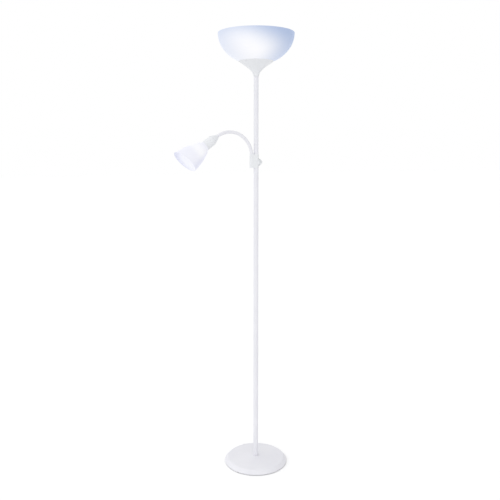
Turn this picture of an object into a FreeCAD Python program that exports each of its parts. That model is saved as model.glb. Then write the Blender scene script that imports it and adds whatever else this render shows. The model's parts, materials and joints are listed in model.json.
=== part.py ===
"""Torchiere floor lamp with a reading light on a flexible neck.

The lamp stands on the plane z = 0 with its pole on the Z axis. The reading arm
lies in the XZ plane and reaches towards -X, and the switch knob is on the +X side.
All sizes are in millimetres.
"""
import FreeCAD
import Part

import math
import os

from FreeCAD import Rotation, Vector

ORIGIN = Vector(0, 0, 0)
UP = Vector(0, 0, 1)
RIGHT = Vector(1, 0, 0)
BACK = Vector(0, 1, 0)

# Clearances
THREAD_GAP = 0.10       # between a threaded rod and its nut or bush, on the radius
PUSH_GAP = 0.05         # between a pushed-in piece and its bore, on the radius
RUNNING_GAP = 0.05      # between a turning shaft or ball and its bearing, on the radius
SEAT_GAP = 0.30         # between a shade and the cover that it nearly touches
SCREW_END_GAP = 0.5     # between a screw's end and the end of its hole
PAST = 1.0              # how far a cutting form reaches past the face that it cuts
JOIN = 0.01             # how far two cutting forms reach into each other

# Screw heads, as shares of the head's diameter and height
SCREW_TOP_SHARE = 0.8
SCREW_CROWN_SHARE = 0.4
SCREW_SLOT_L_SHARE = 0.7
SCREW_SLOT_W_SHARE = 0.4

# Base
BASE_D = 259.0          # across the rim of the pressed cover
BASE_RIM_H = 3.0        # upright part of the rim
BASE_SHOULDER_D = 234.0
BASE_SHOULDER_Z = 18.5
BASE_SHOULDER_ROUND = 6.0
BASE_CROWN_Z = 23.0     # the pole stands here
COVER_T = 1.0
COVER_LIFT = 2.5        # rim's lower edge above the floor
PAD_T = 2.0
PAD_D = 244.0
PAD_SCREW_HOLE_D = 9.0
PLATE_T = 1.2
PLATE_INSET = 1.5       # between the bottom plate's edge and the cover
WEIGHT_D = 222.0
WEIGHT_T = 11.0
WEIGHT_EDGE_ROUND = 3.0
WEIGHT_HUB_D = 46.0
WEIGHT_HUB_TOP_D = 34.0
WEIGHT_HUB_GAP = 0.15   # between the hub's top and the cover's domed underside
WEIGHT_POCKET_D = 24.0
WEIGHT_POCKET_H = 8.5
LEAD_SLOT_W = 9.0
LEAD_SLOT_H = 7.0
PLATE_SCREW_COUNT = 3
PLATE_SCREW_CIRCLE_D = 150.0
PLATE_SCREW_D = 4.0
PLATE_SCREW_L = 9.0
PLATE_SCREW_HEAD_D = 7.5
PLATE_SCREW_HEAD_H = 1.3
GROMMET_BORE_D = 7.0
GROMMET_BODY_D = 10.0
GROMMET_FLANGE_D = 14.0
GROMMET_FLANGE_T = 1.8
GROMMET_TAIL_L = 4.0

# Threaded rods, nuts and bushes
ROD_D = 10.0
ROD_BORE_D = 6.8
ROD_NUT_AF = 15.0       # across flats
ROD_NUT_T = 4.0
ROD_WASHER_D = 21.0
ROD_WASHER_T = 1.5
BUSH_L = 16.0
ROD_GRIP = 13.0         # length of rod held in each bush
BASE_ROD_TAIL = 1.0     # rod standing out below the base nut

# Pole
POLE_D = 20.0
TOP_TUBE_D = 19.0
TUBE_WALL = 1.0
TUBE_L = 404.2          # each of the lower tubes
TUBE_COUNT = 3
TOP_TUBE_L = 328.0

# Switch housing
HOUSING_H = 54.0
HOUSING_WALL = 1.6
HOUSING_POLE_R = 10.8
HOUSING_NECK_R = 8.0
HOUSING_EDGE_ROUND = 1.4
HOUSING_FLOOR = 2.0
TUBE_SOCKET_DEPTH = 18.0
SOCKET_LEDGE_T = 2.0
SPIGOT_L = 20.0
SPIGOT_WALL = 2.0
NECK_ROOF_T = 11.0      # solid thickness above the neck's nut
NECK_OFFSET = 19.6      # from the pole's axis to the neck's axis
HOUSING_SCREW_D = 3.0
HOUSING_SCREW_HEAD_D = 5.0
HOUSING_SCREW_HEAD_H = 1.6
HOUSING_SCREW_POST_D = 5.6
HOUSING_SCREW_SINK = 0.6    # screw head below the housing's surface at the neck
HOUSING_SCREW_X = -12.1
HOUSING_SCREW_INSET = 7.0   # from the housing's top and bottom faces
HOUSING_SCREW_L = 12.0

# Rotary switch and knob
SWITCH_Z_ABOVE = 22.3   # knob's axis above the housing's lower face
SWITCH_BODY_D = 15.0
SWITCH_BODY_L = 15.0
SWITCH_BUSHING_D = 8.0
SWITCH_NUT_AF = 11.0
SWITCH_NUT_T = 1.8
SWITCH_SHAFT_D = 6.0
SWITCH_SHAFT_DEPTH = 8.0
SWITCH_BODY_SETBACK = 2.0   # from the housing's inner wall
SWITCH_BUSHING_OUT = 0.4    # bushing standing out of its nut
SHAFT_END_GAP = 1.0     # between the shaft's end and the knob's blind bore
SHAFT_FLAT_R = 1.8      # from the shaft's axis to its flat
TAG_L = 3.5             # solder tags on the switch
TAG_W = 2.4
TAG_T = 0.6
TAG_PITCH = 3.5
BOSS_D = 25.0
BOSS_FOOT_D = 19.0      # on the pole's axis, where the boss starts to flare
BOSS_FLARE_L = 9.0
BOSS_REACH = 12.0       # boss's flat face from the pole's axis
BOSS_EDGE_ROUND = 1.0
KNOB_GAP = 0.6
KNOB_D = 29.0
KNOB_SKIRT_H = 2.4
KNOB_TIP_D = 9.0
KNOB_TIP_ROUND = 1.6
KNOB_NUT_ROOM = 1.2     # round the switch nut's corners
KNOB_L = 14.0
KNOB_WALL = 2.0
KNOB_POCKET_H = 4.4
KNOB_FLUTES = 14
KNOB_FLUTE_D = 3.2
KNOB_FLUTE_DEPTH = 0.8

# Flexible neck
NECK_D = 13.0
NECK_BORE_D = 5.2
NECK_RADIUS = 92.5      # of the centre line
NECK_START_DROP = 6.0   # the arc starts this far below the housing's top
NECK_TURN = 126.5       # degrees from upright to the reading head's axis
NECK_FIRST = 9.0        # first and last ball, in degrees along the arc
NECK_LAST = 117.5
NECK_BALLS = 8
BALL_D = 10.8
BALL_STEM_D = 7.8
BALL_LIP = 1.2          # socket's lip beyond the ball's centre
COLLAR_STANDOFF = 4.6   # next link's collar from the ball's centre
FERRULE_D = 14.6
FERRULE_H = 4.0
FERRULE_CHAMFER = 1.0
NECK_SHANK_L = 24.0
NECK_SHANK_D = 9.8
NECK_NUT_AF = 10.6
NECK_NUT_T = 5.0
NECK_NUT_DROP = 11.0    # nut's upper face below the housing's top

# Reading head, along its own axis from the end of the neck
CUP_TAIL_D = 18.0
CUP_TAPER_L = 24.0
CUP_D = 38.5
CUP_L = 62.0
CUP_WALL = 1.5
CUP_ROUND = 5.0
TIP_THREAD_L = 20.0
TIP_NUT_AF = 13.0
TIP_NUT_T = 3.0
SMALL_HOLDER_D = 31.0
SMALL_HOLDER_NECK_D = 16.0
SMALL_HOLDER_NECK_L = 16.0
SMALL_HOLDER_SHOULDER_L = 3.0
SMALL_HOLDER_FLANGE_T = 3.0
SMALL_HOLDER_START = 5.0
SMALL_HOLDER_BORE_D = 15.6
SMALL_HOLDER_BORE_START = 46.0
SMALL_HOLDER_FRONT_D = 28.0
SMALL_HOLDER_FRONT_L = 9.0
SMALL_RING_D = 36.0
SMALL_RING_T = 4.5
SMALL_CAP_D = 14.0
SMALL_CAP_L = 22.0
SMALL_GLOBE_D = 45.0
SMALL_GLOBE_AT = 104.0  # globe's centre from the end of the neck
SHADE_STANDOFF = 0.5
SHADE_COLLAR_D = 41.0
SHADE_FLANGE_T = 2.5
SHADE_WALL = 2.0
SHADE_L = 118.0         # before the mouth is cut
SHADE_MOUTH_D = 110.0   # before the mouth is cut
SHADE_CUT_AT = 100.0    # from the seat to the middle of the mouth
SHADE_CUT_TILT = 11.0   # degrees: the mouth leans, so that one side of the shade is longer
SHADE_CUT_TURN = 37.0   # degrees from the top to the shade's longest side
# The bell's outline between collar and end: share of length, diameter
SHADE_CURVE = [(0.09, 53.5), (0.24, 69.0), (0.43, 84.5), (0.62, 94.5), (0.80, 100.0)]

# Uplighter
FUNNEL_FOOT_D = 22.0
FUNNEL_SLEEVE_L = 4.0
FUNNEL_WEB_T = 2.0
FUNNEL_TOP_D = 138.0
FUNNEL_WALL = 1.5
# The flare's outline between foot and rim: share of height, diameter
FUNNEL_CURVE = [(0.22, 30.0), (0.41, 47.0), (0.60, 72.0), (0.77, 99.0)]
FUNNEL_RIM_H = 1.2      # upright edge round the flare's top
HOLDER_NECK_D = 20.0
HOLDER_NECK_L = 12.0
HOLDER_CHAMFER = 2.0
HOLDER_ROD_GAP = 2.0    # between the top rod's end and the end of the holder's neck
HOLDER_D = 37.0
HOLDER_BODY_L = 20.0
HOLDER_FLANGE_D = 50.0
HOLDER_FLANGE_T = 3.8
HOLDER_FRONT_D = 39.6
HOLDER_FRONT_L = 16.0
HOLDER_BORE_D = 27.6
HOLDER_FLOOR = 8.0      # from the holder's neck up to its bore
BOWL_D = 300.0
BOWL_DEPTH = 120.0      # half height of the full ellipse
BOWL_WALL = 2.0
BOWL_SEAT_D = 52.0      # flat ring round the bowl's hole
BOWL_HOLE_D = 40.6
RING_D = 50.0
RING_T = 5.0
RING_NOTCHES = 12
RING_NOTCH_D = 3.0
RING_NOTCH_OUT = 0.5    # notch's axis outside the ring's edge
CAP_D = 26.4
CAP_L = 27.0
CAP_BUTTON_H = 1.0      # contact button on a bulb's cap
CAP_CONE_H = 3.0
CAP_SHOULDER_H = 1.3
CAP_BUTTON_SHARE = 0.35     # of the cap's radius
CAP_CONE_SHARE = 0.8
GLOBE_D = 60.0
GLOBE_RISE = 52.0       # globe's centre above the cap
GLASS_T = 1.0
BULB_JOIN_ANGLE = 42.0  # degrees below the globe's middle where the neck meets it
BULB_NECK_BOW = 0.09    # bow of the neck's arc as a share of its chord
BULB_COLLAR_H = 2.0
CONTACT_D = 10.0
CONTACT_BORE_D = 3.4
SMALL_CONTACT_D = 8.0
SMALL_CONTACT_BORE_D = 2.0
CONTACT_T = 1.2
UPLIGHT_LEAD_D = 5.0

# Heights that follow from the sizes above
PLATE_Z = PAD_T
WEIGHT_Z = PLATE_Z + PLATE_T
HOUSING_Z = BASE_CROWN_Z + TUBE_COUNT * TUBE_L
HOUSING_TOP = HOUSING_Z + HOUSING_H
SOCKET_Z = HOUSING_TOP - TUBE_SOCKET_DEPTH
KNOB_Z = HOUSING_Z + SWITCH_Z_ABOVE
TOP_TUBE_END = SOCKET_Z + TOP_TUBE_L
FUNNEL_WEB_TOP = TOP_TUBE_END + FUNNEL_WEB_T
HOLDER_Z = FUNNEL_WEB_TOP + ROD_NUT_T
BOWL_SEAT_Z = HOLDER_Z + HOLDER_NECK_L + HOLDER_BODY_L + HOLDER_FLANGE_T
NECK_CENTRE = Vector(-(NECK_OFFSET + NECK_RADIUS), 0, HOUSING_TOP - NECK_START_DROP)


def sagging_point(start, end, bow):
    """Point at the middle of an arc that bows to the left of start-to-end."""
    chord = end - start
    side = Vector(-chord.z, 0, chord.x).normalize()
    return (start + end) * 0.5 + side * bow


def lathe(*steps):
    """Solid turned about Z. Each step is (r, z) for a line or (r, z, r, z) for an arc."""
    first = Vector(steps[0][0], 0, steps[0][1])
    here = first
    edges = []
    for step in steps[1:] + (steps[0][:2],):
        end = Vector(step[-2], 0, step[-1])
        if here.distanceToPoint(end) < 1e-6:
            continue
        if len(step) == 4:
            middle = Vector(step[0], 0, step[1])
            edges.append(Part.Arc(here, middle, end).toShape())
        else:
            edges.append(Part.makeLine(here, end))
        here = end
    return turn_edges(edges)


def turn_edges(edges):
    """Solid turned about Z from the closed outline that the edges make."""
    face = Part.Face(Part.Wire(Part.__sortEdges__(edges)))
    return face.revolve(ORIGIN, UP, 360)


def rod(diameter, z_low, z_high, x=0.0, y=0.0):
    """Upright cylinder between two heights."""
    return Part.makeCylinder(diameter / 2, z_high - z_low, Vector(x, y, z_low), UP)


def hollow_rod(outer, bore, z_low, z_high, x=0.0, y=0.0):
    """Upright tube between two heights."""
    return rod(outer, z_low, z_high, x, y).cut(rod(bore, z_low - PAST, z_high + PAST, x, y))


def hex_nut(across_flats, bore, z_low, thickness, x=0.0, y=0.0):
    """Upright hexagon nut with chamfered corners."""
    corner_r = across_flats / math.sqrt(3)
    corners = [
        Vector(x + corner_r * math.cos(math.radians(a)), y + corner_r * math.sin(math.radians(a)), z_low)
        for a in range(0, 361, 60)
    ]
    prism = Part.Face(Part.makePolygon(corners)).extrude(Vector(0, 0, thickness))
    return prism.cut(rod(bore, z_low - PAST, z_low + thickness + PAST, x, y))


def pan_screw(shank_d, length, head_d, head_h):
    """Screw along Z with its head's underside at z = 0 and its shank below."""
    side_h = head_h * (1 - SCREW_CROWN_SHARE)
    top_r = SCREW_TOP_SHARE * head_d / 2
    head = lathe((0, 0), (head_d / 2, 0), (head_d / 2, side_h), (top_r, head_h), (0, head_h))
    slot_l = SCREW_SLOT_L_SHARE * head_d
    slot_w = SCREW_SLOT_W_SHARE * head_h
    slot = Part.makeBox(slot_l, slot_w, head_h, Vector(-slot_l / 2, -slot_w / 2, head_h / 2))
    return head.fuse(rod(shank_d, -length, 0)).cut(slot)


def along(shape, origin, direction):
    """Copy of a shape built on +Z, turned to a direction and moved to an origin."""
    copy = shape.copy()
    copy.Placement = FreeCAD.Placement(origin, Rotation(UP, direction))
    return copy


def around(shape, count, radius, start_angle=0.0):
    """Copies of a shape spaced evenly on a circle about Z."""
    copies = []
    for i in range(count):
        angle = start_angle + 360.0 * i / count
        copy = shape.copy()
        copy.translate(Vector(radius, 0, 0))
        copy.rotate(ORIGIN, UP, angle)
        copies.append(copy)
    return copies


def circle_edges(shape, radius, z):
    """Circular edges of a turned solid at one radius and height."""
    found = []
    for edge in shape.Edges:
        box = edge.BoundBox
        if abs(box.ZMin - z) < 1e-4 and abs(box.ZMax - z) < 1e-4 and abs(box.XMax - radius) < 1e-4:
            found.append(edge)
    return found


# Base

def cover_form(inset, z_bottom):
    """Solid under the cover's surface, drawn in by the inset."""
    rim = Vector(BASE_D / 2, 0, COVER_LIFT + BASE_RIM_H)
    shoulder = Vector(BASE_SHOULDER_D / 2, 0, BASE_SHOULDER_Z)
    slope = (shoulder - rim).normalize()
    inward = Vector(-slope.z, 0, slope.x)
    edge_r = rim.x - inset
    moved = rim + inward * inset
    rim_z = moved.z + slope.z * (edge_r - moved.x) / slope.x
    shoulder_z = shoulder.z - inset
    shoulder_r = moved.x + slope.x * (shoulder_z - moved.z) / slope.z
    crown_z = BASE_CROWN_Z - inset
    rise = crown_z - shoulder_z
    dome_r = (shoulder_r ** 2 + rise ** 2) / (2 * rise)
    middle_r = shoulder_r / 2
    middle_z = crown_z - dome_r + math.sqrt(dome_r ** 2 - middle_r ** 2)
    form = lathe(
        (0, z_bottom),
        (edge_r, z_bottom),
        (edge_r, rim_z),
        (shoulder_r, shoulder_z),
        (middle_r, middle_z, 0, crown_z),
    )
    round_r = BASE_SHOULDER_ROUND - inset
    return form.makeFillet(round_r, circle_edges(form, shoulder_r, shoulder_z))


def grommet_frame():
    """Point on the cover's slope at the back, and the outward direction there."""
    rim = Vector(0, BASE_D / 2, COVER_LIFT + BASE_RIM_H)
    shoulder = Vector(0, BASE_SHOULDER_D / 2, BASE_SHOULDER_Z)
    slope = (shoulder - rim).normalize()
    outward = Vector(0, slope.z, -slope.y)
    return (rim + shoulder) * 0.5, outward


def make_base_cover():
    shell = cover_form(0, COVER_LIFT).cut(cover_form(COVER_T, COVER_LIFT - PAST))
    shell = shell.cut(rod(ROD_D + 2 * THREAD_GAP, 0, BASE_CROWN_Z + PAST))
    spot, outward = grommet_frame()
    hole = along(rod(GROMMET_BODY_D + 2 * PUSH_GAP, -3 * COVER_T, 3 * COVER_T), spot, outward)
    return shell.cut(hole)


def make_cord_grommet():
    body = hollow_rod(GROMMET_BODY_D, GROMMET_BORE_D, -GROMMET_TAIL_L, 0)
    flange = lathe(
        (GROMMET_BORE_D / 2, 0),
        (GROMMET_FLANGE_D / 2, 0),
        (GROMMET_FLANGE_D / 2, GROMMET_FLANGE_T * 0.5),
        (GROMMET_BODY_D / 2, GROMMET_FLANGE_T),
        (GROMMET_BORE_D / 2, GROMMET_FLANGE_T),
    )
    spot, outward = grommet_frame()
    return along(body.fuse(flange).removeSplitter(), spot, outward)


def make_base_weight():
    top = WEIGHT_Z + WEIGHT_T
    hub_top = BASE_CROWN_Z - COVER_T - WEIGHT_HUB_GAP
    disc = rod(WEIGHT_D, WEIGHT_Z, top)
    disc = disc.makeFillet(WEIGHT_EDGE_ROUND, circle_edges(disc, WEIGHT_D / 2, top))
    hub = lathe((0, top - PAST), (WEIGHT_HUB_D / 2, top - PAST), (WEIGHT_HUB_D / 2, top),
                (WEIGHT_HUB_TOP_D / 2, hub_top), (0, hub_top))
    pocket = rod(WEIGHT_POCKET_D, WEIGHT_Z - PAST, WEIGHT_Z + WEIGHT_POCKET_H)
    slot_corner = Vector(-LEAD_SLOT_W / 2, 0, WEIGHT_Z - PAST)
    slot = Part.makeBox(LEAD_SLOT_W, WEIGHT_D, LEAD_SLOT_H + PAST, slot_corner)
    weight = disc.fuse(hub).cut(pocket).cut(slot)
    weight = weight.cut(rod(ROD_D + 2 * THREAD_GAP, 0, hub_top + PAST))
    holes = around(rod(PLATE_SCREW_D, WEIGHT_Z - PAST, WEIGHT_Z + PLATE_SCREW_L), PLATE_SCREW_COUNT,
                   PLATE_SCREW_CIRCLE_D / 2)
    return weight.cut(Part.makeCompound(holes)).removeSplitter()


def make_base_plate():
    plate_d = BASE_D - 2 * COVER_T - 2 * PLATE_INSET
    plate = rod(plate_d, PLATE_Z, PLATE_Z + PLATE_T)
    holes = around(rod(PLATE_SCREW_D + 2 * THREAD_GAP, 0, WEIGHT_Z + PAST), PLATE_SCREW_COUNT,
                   PLATE_SCREW_CIRCLE_D / 2)
    return plate.cut(Part.makeCompound(holes))


def make_plate_screws():
    shank_d = PLATE_SCREW_D - 2 * THREAD_GAP
    screw = pan_screw(shank_d, PLATE_SCREW_L - SCREW_END_GAP, PLATE_SCREW_HEAD_D, PLATE_SCREW_HEAD_H)
    screw.rotate(ORIGIN, RIGHT, 180)
    screw.translate(Vector(0, 0, PLATE_Z))
    return Part.makeCompound(around(screw, PLATE_SCREW_COUNT, PLATE_SCREW_CIRCLE_D / 2))


def make_base_pad():
    """Soft disc under the bottom plate, with holes round the screw heads."""
    pad = rod(PAD_D, 0, PAD_T)
    hole = rod(PAD_SCREW_HOLE_D, -PAST, PAD_T + PAST)
    return pad.cut(Part.makeCompound(around(hole, PLATE_SCREW_COUNT, PLATE_SCREW_CIRCLE_D / 2)))


def base_rod_low():
    """Height of the base rod's lower end."""
    return WEIGHT_Z + WEIGHT_POCKET_H - ROD_WASHER_T - ROD_NUT_T - BASE_ROD_TAIL


def make_base_rod():
    return hollow_rod(ROD_D, ROD_BORE_D, base_rod_low(), BASE_CROWN_Z + ROD_GRIP)


def make_base_washer():
    top = WEIGHT_Z + WEIGHT_POCKET_H
    return hollow_rod(ROD_WASHER_D, ROD_D + 2 * THREAD_GAP, top - ROD_WASHER_T, top)


def make_base_nut():
    top = WEIGHT_Z + WEIGHT_POCKET_H - ROD_WASHER_T
    return hex_nut(ROD_NUT_AF, ROD_D + 2 * THREAD_GAP, top - ROD_NUT_T, ROD_NUT_T)


# Pole

def tube_ends():
    """Lower and upper height of each lower tube, from the base up."""
    return [(BASE_CROWN_Z + i * TUBE_L, BASE_CROWN_Z + (i + 1) * TUBE_L) for i in range(TUBE_COUNT)]


def make_pole_tube(index):
    low, high = tube_ends()[index]
    return hollow_rod(POLE_D, POLE_D - 2 * TUBE_WALL, low, high)


def make_tube_bushes():
    """Threaded bushes pressed into every lower tube end but the topmost."""
    bore = ROD_D + 2 * THREAD_GAP
    outer = POLE_D - 2 * TUBE_WALL - 2 * PUSH_GAP
    bushes = []
    for i, (low, high) in enumerate(tube_ends()):
        bushes.append(hollow_rod(outer, bore, low, low + BUSH_L))
        if i < TUBE_COUNT - 1:
            bushes.append(hollow_rod(outer, bore, high - BUSH_L, high))
    return Part.makeCompound(bushes)


def make_joint_rods():
    """Hollow threaded rods that join one lower tube to the next."""
    joints = [high for low, high in tube_ends()[:-1]]
    return Part.makeCompound([hollow_rod(ROD_D, ROD_BORE_D, z - ROD_GRIP, z + ROD_GRIP) for z in joints])


def make_top_tube():
    return hollow_rod(TOP_TUBE_D, TOP_TUBE_D - 2 * TUBE_WALL, SOCKET_Z, TOP_TUBE_END)


def make_top_bush():
    outer = TOP_TUBE_D - 2 * TUBE_WALL - 2 * PUSH_GAP
    return hollow_rod(outer, ROD_D + 2 * THREAD_GAP, TOP_TUBE_END - BUSH_L, TOP_TUBE_END)


# Switch housing

def housing_outline(inset, z_low, z_high):
    """Upright block that wraps the pole's axis and the neck's axis, drawn in by the inset."""
    big = HOUSING_POLE_R - inset
    small = HOUSING_NECK_R - inset
    lean = -(big - small) / NECK_OFFSET
    side = math.sqrt(1 - lean ** 2)

    def point(x, y):
        return Vector(x, y, z_low)

    pole_up = point(big * lean, big * side)
    pole_down = point(big * lean, -big * side)
    neck_up = point(-NECK_OFFSET + small * lean, small * side)
    neck_down = point(-NECK_OFFSET + small * lean, -small * side)
    edges = [
        Part.Arc(pole_up, point(big, 0), pole_down).toShape(),
        Part.makeLine(pole_down, neck_down),
        Part.Arc(neck_down, point(-NECK_OFFSET - small, 0), neck_up).toShape(),
        Part.makeLine(neck_up, pole_up),
    ]
    return Part.Face(Part.Wire(edges)).extrude(Vector(0, 0, z_high - z_low))


def level_edges(shape, z):
    """Edges that lie wholly at one height."""
    return [e for e in shape.Edges if abs(e.BoundBox.ZMin - z) < 1e-4 and abs(e.BoundBox.ZMax - z) < 1e-4]


def housing_screw_heights():
    return [HOUSING_Z + HOUSING_SCREW_INSET, HOUSING_TOP - HOUSING_SCREW_INSET]


def housing_screw_seat():
    """Distance of a housing screw head's underside behind the parting plane."""
    return HOUSING_NECK_R - HOUSING_SCREW_HEAD_H - HOUSING_SCREW_SINK


def housing_solid():
    """Both halves of the housing in one, before it is parted."""
    shell = housing_outline(0, HOUSING_Z, HOUSING_TOP)
    rims = level_edges(shell, HOUSING_Z) + level_edges(shell, HOUSING_TOP)
    shell = shell.makeFillet(HOUSING_EDGE_ROUND, rims)
    boss = knob_boss()
    spigot_d = POLE_D - 2 * TUBE_WALL - 2 * PUSH_GAP
    spigot = rod(spigot_d, HOUSING_Z - SPIGOT_L, HOUSING_Z + HOUSING_FLOOR)
    shell = shell.fuse(boss).fuse(spigot)

    roof = SOCKET_Z - SOCKET_LEDGE_T
    room = housing_outline(HOUSING_WALL, HOUSING_Z + HOUSING_FLOOR, roof)
    neck_room = rod(2 * (HOUSING_NECK_R - HOUSING_WALL), roof - PAST, HOUSING_TOP - NECK_ROOF_T, -NECK_OFFSET)
    lead_way = rod(spigot_d - 2 * SPIGOT_WALL, HOUSING_Z - SPIGOT_L - PAST, SOCKET_Z + PAST)
    socket = rod(TOP_TUBE_D + 2 * PUSH_GAP, SOCKET_Z, HOUSING_TOP + PAST)
    shank_way = rod(NECK_SHANK_D + 2 * PUSH_GAP, roof, HOUSING_TOP + PAST, -NECK_OFFSET)
    shell = shell.cut(room).cut(neck_room).cut(lead_way).cut(socket).cut(shank_way)

    posts = []
    for z in housing_screw_heights():
        start = Vector(HOUSING_SCREW_X, -HOUSING_POLE_R, z)
        posts.append(Part.makeCylinder(HOUSING_SCREW_POST_D / 2, 2 * HOUSING_POLE_R, start, BACK))
    inside = housing_outline(HOUSING_WALL / 2, HOUSING_Z, HOUSING_TOP)
    shell = shell.fuse(Part.makeCompound(posts).common(inside))
    bushing_way = knob_bar(SWITCH_BUSHING_D + 2 * PUSH_GAP, 0, 2 * BOSS_REACH)
    switch_seat = knob_bar(SWITCH_BODY_D + 2 * PUSH_GAP, 0, switch_body_end())
    return shell.cut(bushing_way).cut(switch_seat).cut(housing_screw_ways())


def knob_boss():
    """Flared boss behind the knob, with a flat face that carries the switch."""
    foot_r, face_r = BOSS_FOOT_D / 2, BOSS_D / 2
    form = lathe((0, 0), (foot_r, 0), (face_r, BOSS_FLARE_L), (face_r, BOSS_REACH), (0, BOSS_REACH))
    form = form.makeFillet(BOSS_EDGE_ROUND, circle_edges(form, face_r, BOSS_REACH))
    return along(form, Vector(0, 0, KNOB_Z), RIGHT)


def housing_screw_ways():
    """Holes for the housing screws: clear behind the parting plane, tight in front."""
    ways = []
    seat = housing_screw_seat()
    for z in housing_screw_heights():
        at = Vector(HOUSING_SCREW_X, 0, z)
        clear_r = HOUSING_SCREW_D / 2 + THREAD_GAP
        ways.append(Part.makeCylinder(clear_r, seat + PAST, at, BACK))
        grip = HOUSING_SCREW_L - seat + SCREW_END_GAP
        ways.append(Part.makeCylinder(clear_r, grip, at, -BACK))
        head_r = HOUSING_SCREW_HEAD_D / 2 + THREAD_GAP
        ways.append(Part.makeCylinder(head_r, HOUSING_POLE_R, at + BACK * seat, BACK))
    return Part.makeCompound(ways)


def half_space(front):
    """Box that covers the front (-Y) or the back (+Y) of the housing."""
    reach = 2 * (HOUSING_POLE_R + NECK_OFFSET + BOSS_REACH)
    y_low = -reach if front else 0
    z_low = HOUSING_Z - SPIGOT_L - 1
    return Part.makeBox(2 * reach, reach, HOUSING_H + SPIGOT_L + 2, Vector(-reach, y_low, z_low))


def make_housing_half(front):
    half = housing_solid().common(half_space(front))
    return half.removeSplitter()


def make_housing_screws():
    screws = []
    for z in housing_screw_heights():
        screw = pan_screw(HOUSING_SCREW_D, HOUSING_SCREW_L, HOUSING_SCREW_HEAD_D, HOUSING_SCREW_HEAD_H)
        screws.append(along(screw, Vector(HOUSING_SCREW_X, housing_screw_seat(), z), BACK))
    return Part.makeCompound(screws)


# Rotary switch and knob

def knob_bar(diameter, x_start, x_end):
    """Round bar on the knob's axis between two distances from the pole's axis."""
    return Part.makeCylinder(diameter / 2, x_end - x_start, Vector(x_start, 0, KNOB_Z), RIGHT)


def switch_body_end():
    """Distance of the switch body's seat from the pole's axis."""
    return HOUSING_POLE_R - HOUSING_WALL - SWITCH_BODY_SETBACK


def make_switch_body():
    body_end = switch_body_end()
    body_start = body_end - SWITCH_BODY_L
    body = knob_bar(SWITCH_BODY_D, body_start, body_end)
    bushing = knob_bar(SWITCH_BUSHING_D, body_end - PAST, BOSS_REACH + SWITCH_NUT_T + SWITCH_BUSHING_OUT)
    bore_start = BOSS_REACH - SWITCH_SHAFT_DEPTH - RUNNING_GAP
    bore = knob_bar(SWITCH_SHAFT_D + 2 * RUNNING_GAP, bore_start, bore_start + 2 * BOSS_REACH)
    tags = []
    for i in (-1, 0, 1):
        corner = Vector(body_start - TAG_L, i * TAG_PITCH - TAG_T / 2, KNOB_Z - TAG_W / 2)
        tags.append(Part.makeBox(TAG_L, TAG_T, TAG_W, corner))
    return body.fuse(bushing).fuse(Part.makeCompound(tags)).cut(bore)


def make_switch_nut():
    nut = hex_nut(SWITCH_NUT_AF, SWITCH_BUSHING_D + 2 * THREAD_GAP, 0, SWITCH_NUT_T)
    return along(nut, Vector(BOSS_REACH, 0, KNOB_Z), RIGHT)


def make_switch_shaft():
    start = BOSS_REACH - SWITCH_SHAFT_DEPTH
    knob_foot = BOSS_REACH + KNOB_GAP
    end = knob_foot + KNOB_L - KNOB_WALL - SHAFT_END_GAP
    shaft = knob_bar(SWITCH_SHAFT_D, start, end)
    corner = Vector(knob_foot + KNOB_POCKET_H, -SWITCH_SHAFT_D / 2, KNOB_Z + SHAFT_FLAT_R)
    flat = Part.makeBox(end - start, SWITCH_SHAFT_D, SWITCH_SHAFT_D, corner)
    return shaft.cut(flat)


def make_switch_knob():
    """Conical knob with a fluted skirt, turned about its own axis."""
    tip_r = KNOB_TIP_D / 2
    skirt_r = KNOB_D / 2
    body = lathe((0, 0), (skirt_r, 0), (skirt_r, KNOB_SKIRT_H), (tip_r, KNOB_L), (0, KNOB_L))
    body = body.makeFillet(KNOB_TIP_ROUND, circle_edges(body, tip_r, KNOB_L))
    pocket_r = SWITCH_NUT_AF / math.sqrt(3) + KNOB_NUT_ROOM
    body = body.cut(rod(2 * pocket_r, -1, KNOB_POCKET_H))
    bore = rod(SWITCH_SHAFT_D + 2 * PUSH_GAP, 0, KNOB_L - KNOB_WALL)
    body = body.cut(bore)
    slope = Vector(tip_r - skirt_r, 0, KNOB_L - KNOB_SKIRT_H).normalize()
    groove_r = skirt_r + KNOB_FLUTE_D / 2 - KNOB_FLUTE_DEPTH
    groove = rod(KNOB_FLUTE_D, -1, KNOB_SKIRT_H, groove_r)
    groove = groove.fuse(along(rod(KNOB_FLUTE_D, 0, KNOB_L), Vector(groove_r, 0, KNOB_SKIRT_H), slope))
    groove = groove.fuse(Part.makeSphere(KNOB_FLUTE_D / 2, Vector(groove_r, 0, KNOB_SKIRT_H)))
    body = body.cut(Part.makeCompound(around(groove, KNOB_FLUTES, 0)))
    return along(body, Vector(BOSS_REACH + KNOB_GAP, 0, KNOB_Z), RIGHT)


# Flexible neck

def neck_point(angle):
    """Point on the neck's centre line."""
    a = math.radians(angle)
    return NECK_CENTRE + Vector(math.cos(a), 0, math.sin(a)) * NECK_RADIUS


def neck_heading(angle):
    """Direction of the neck's centre line, away from the housing."""
    a = math.radians(angle)
    return Vector(-math.sin(a), 0, math.cos(a))


def arc_degrees(length):
    """Turn of the centre line over a length."""
    return math.degrees(length / NECK_RADIUS)


def bent_rod(diameter, start, end):
    """Round bar that follows the centre line between two angles."""
    circle = Part.makeCircle(diameter / 2, neck_point(start), neck_heading(start))
    face = Part.Face(Part.Wire(circle))
    return face.revolve(NECK_CENTRE, -BACK, end - start)


def ball_angles():
    """Angle of each ball's centre along the neck."""
    step = (NECK_LAST - NECK_FIRST) / (NECK_BALLS - 1)
    return [NECK_FIRST + i * step for i in range(NECK_BALLS)]


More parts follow.
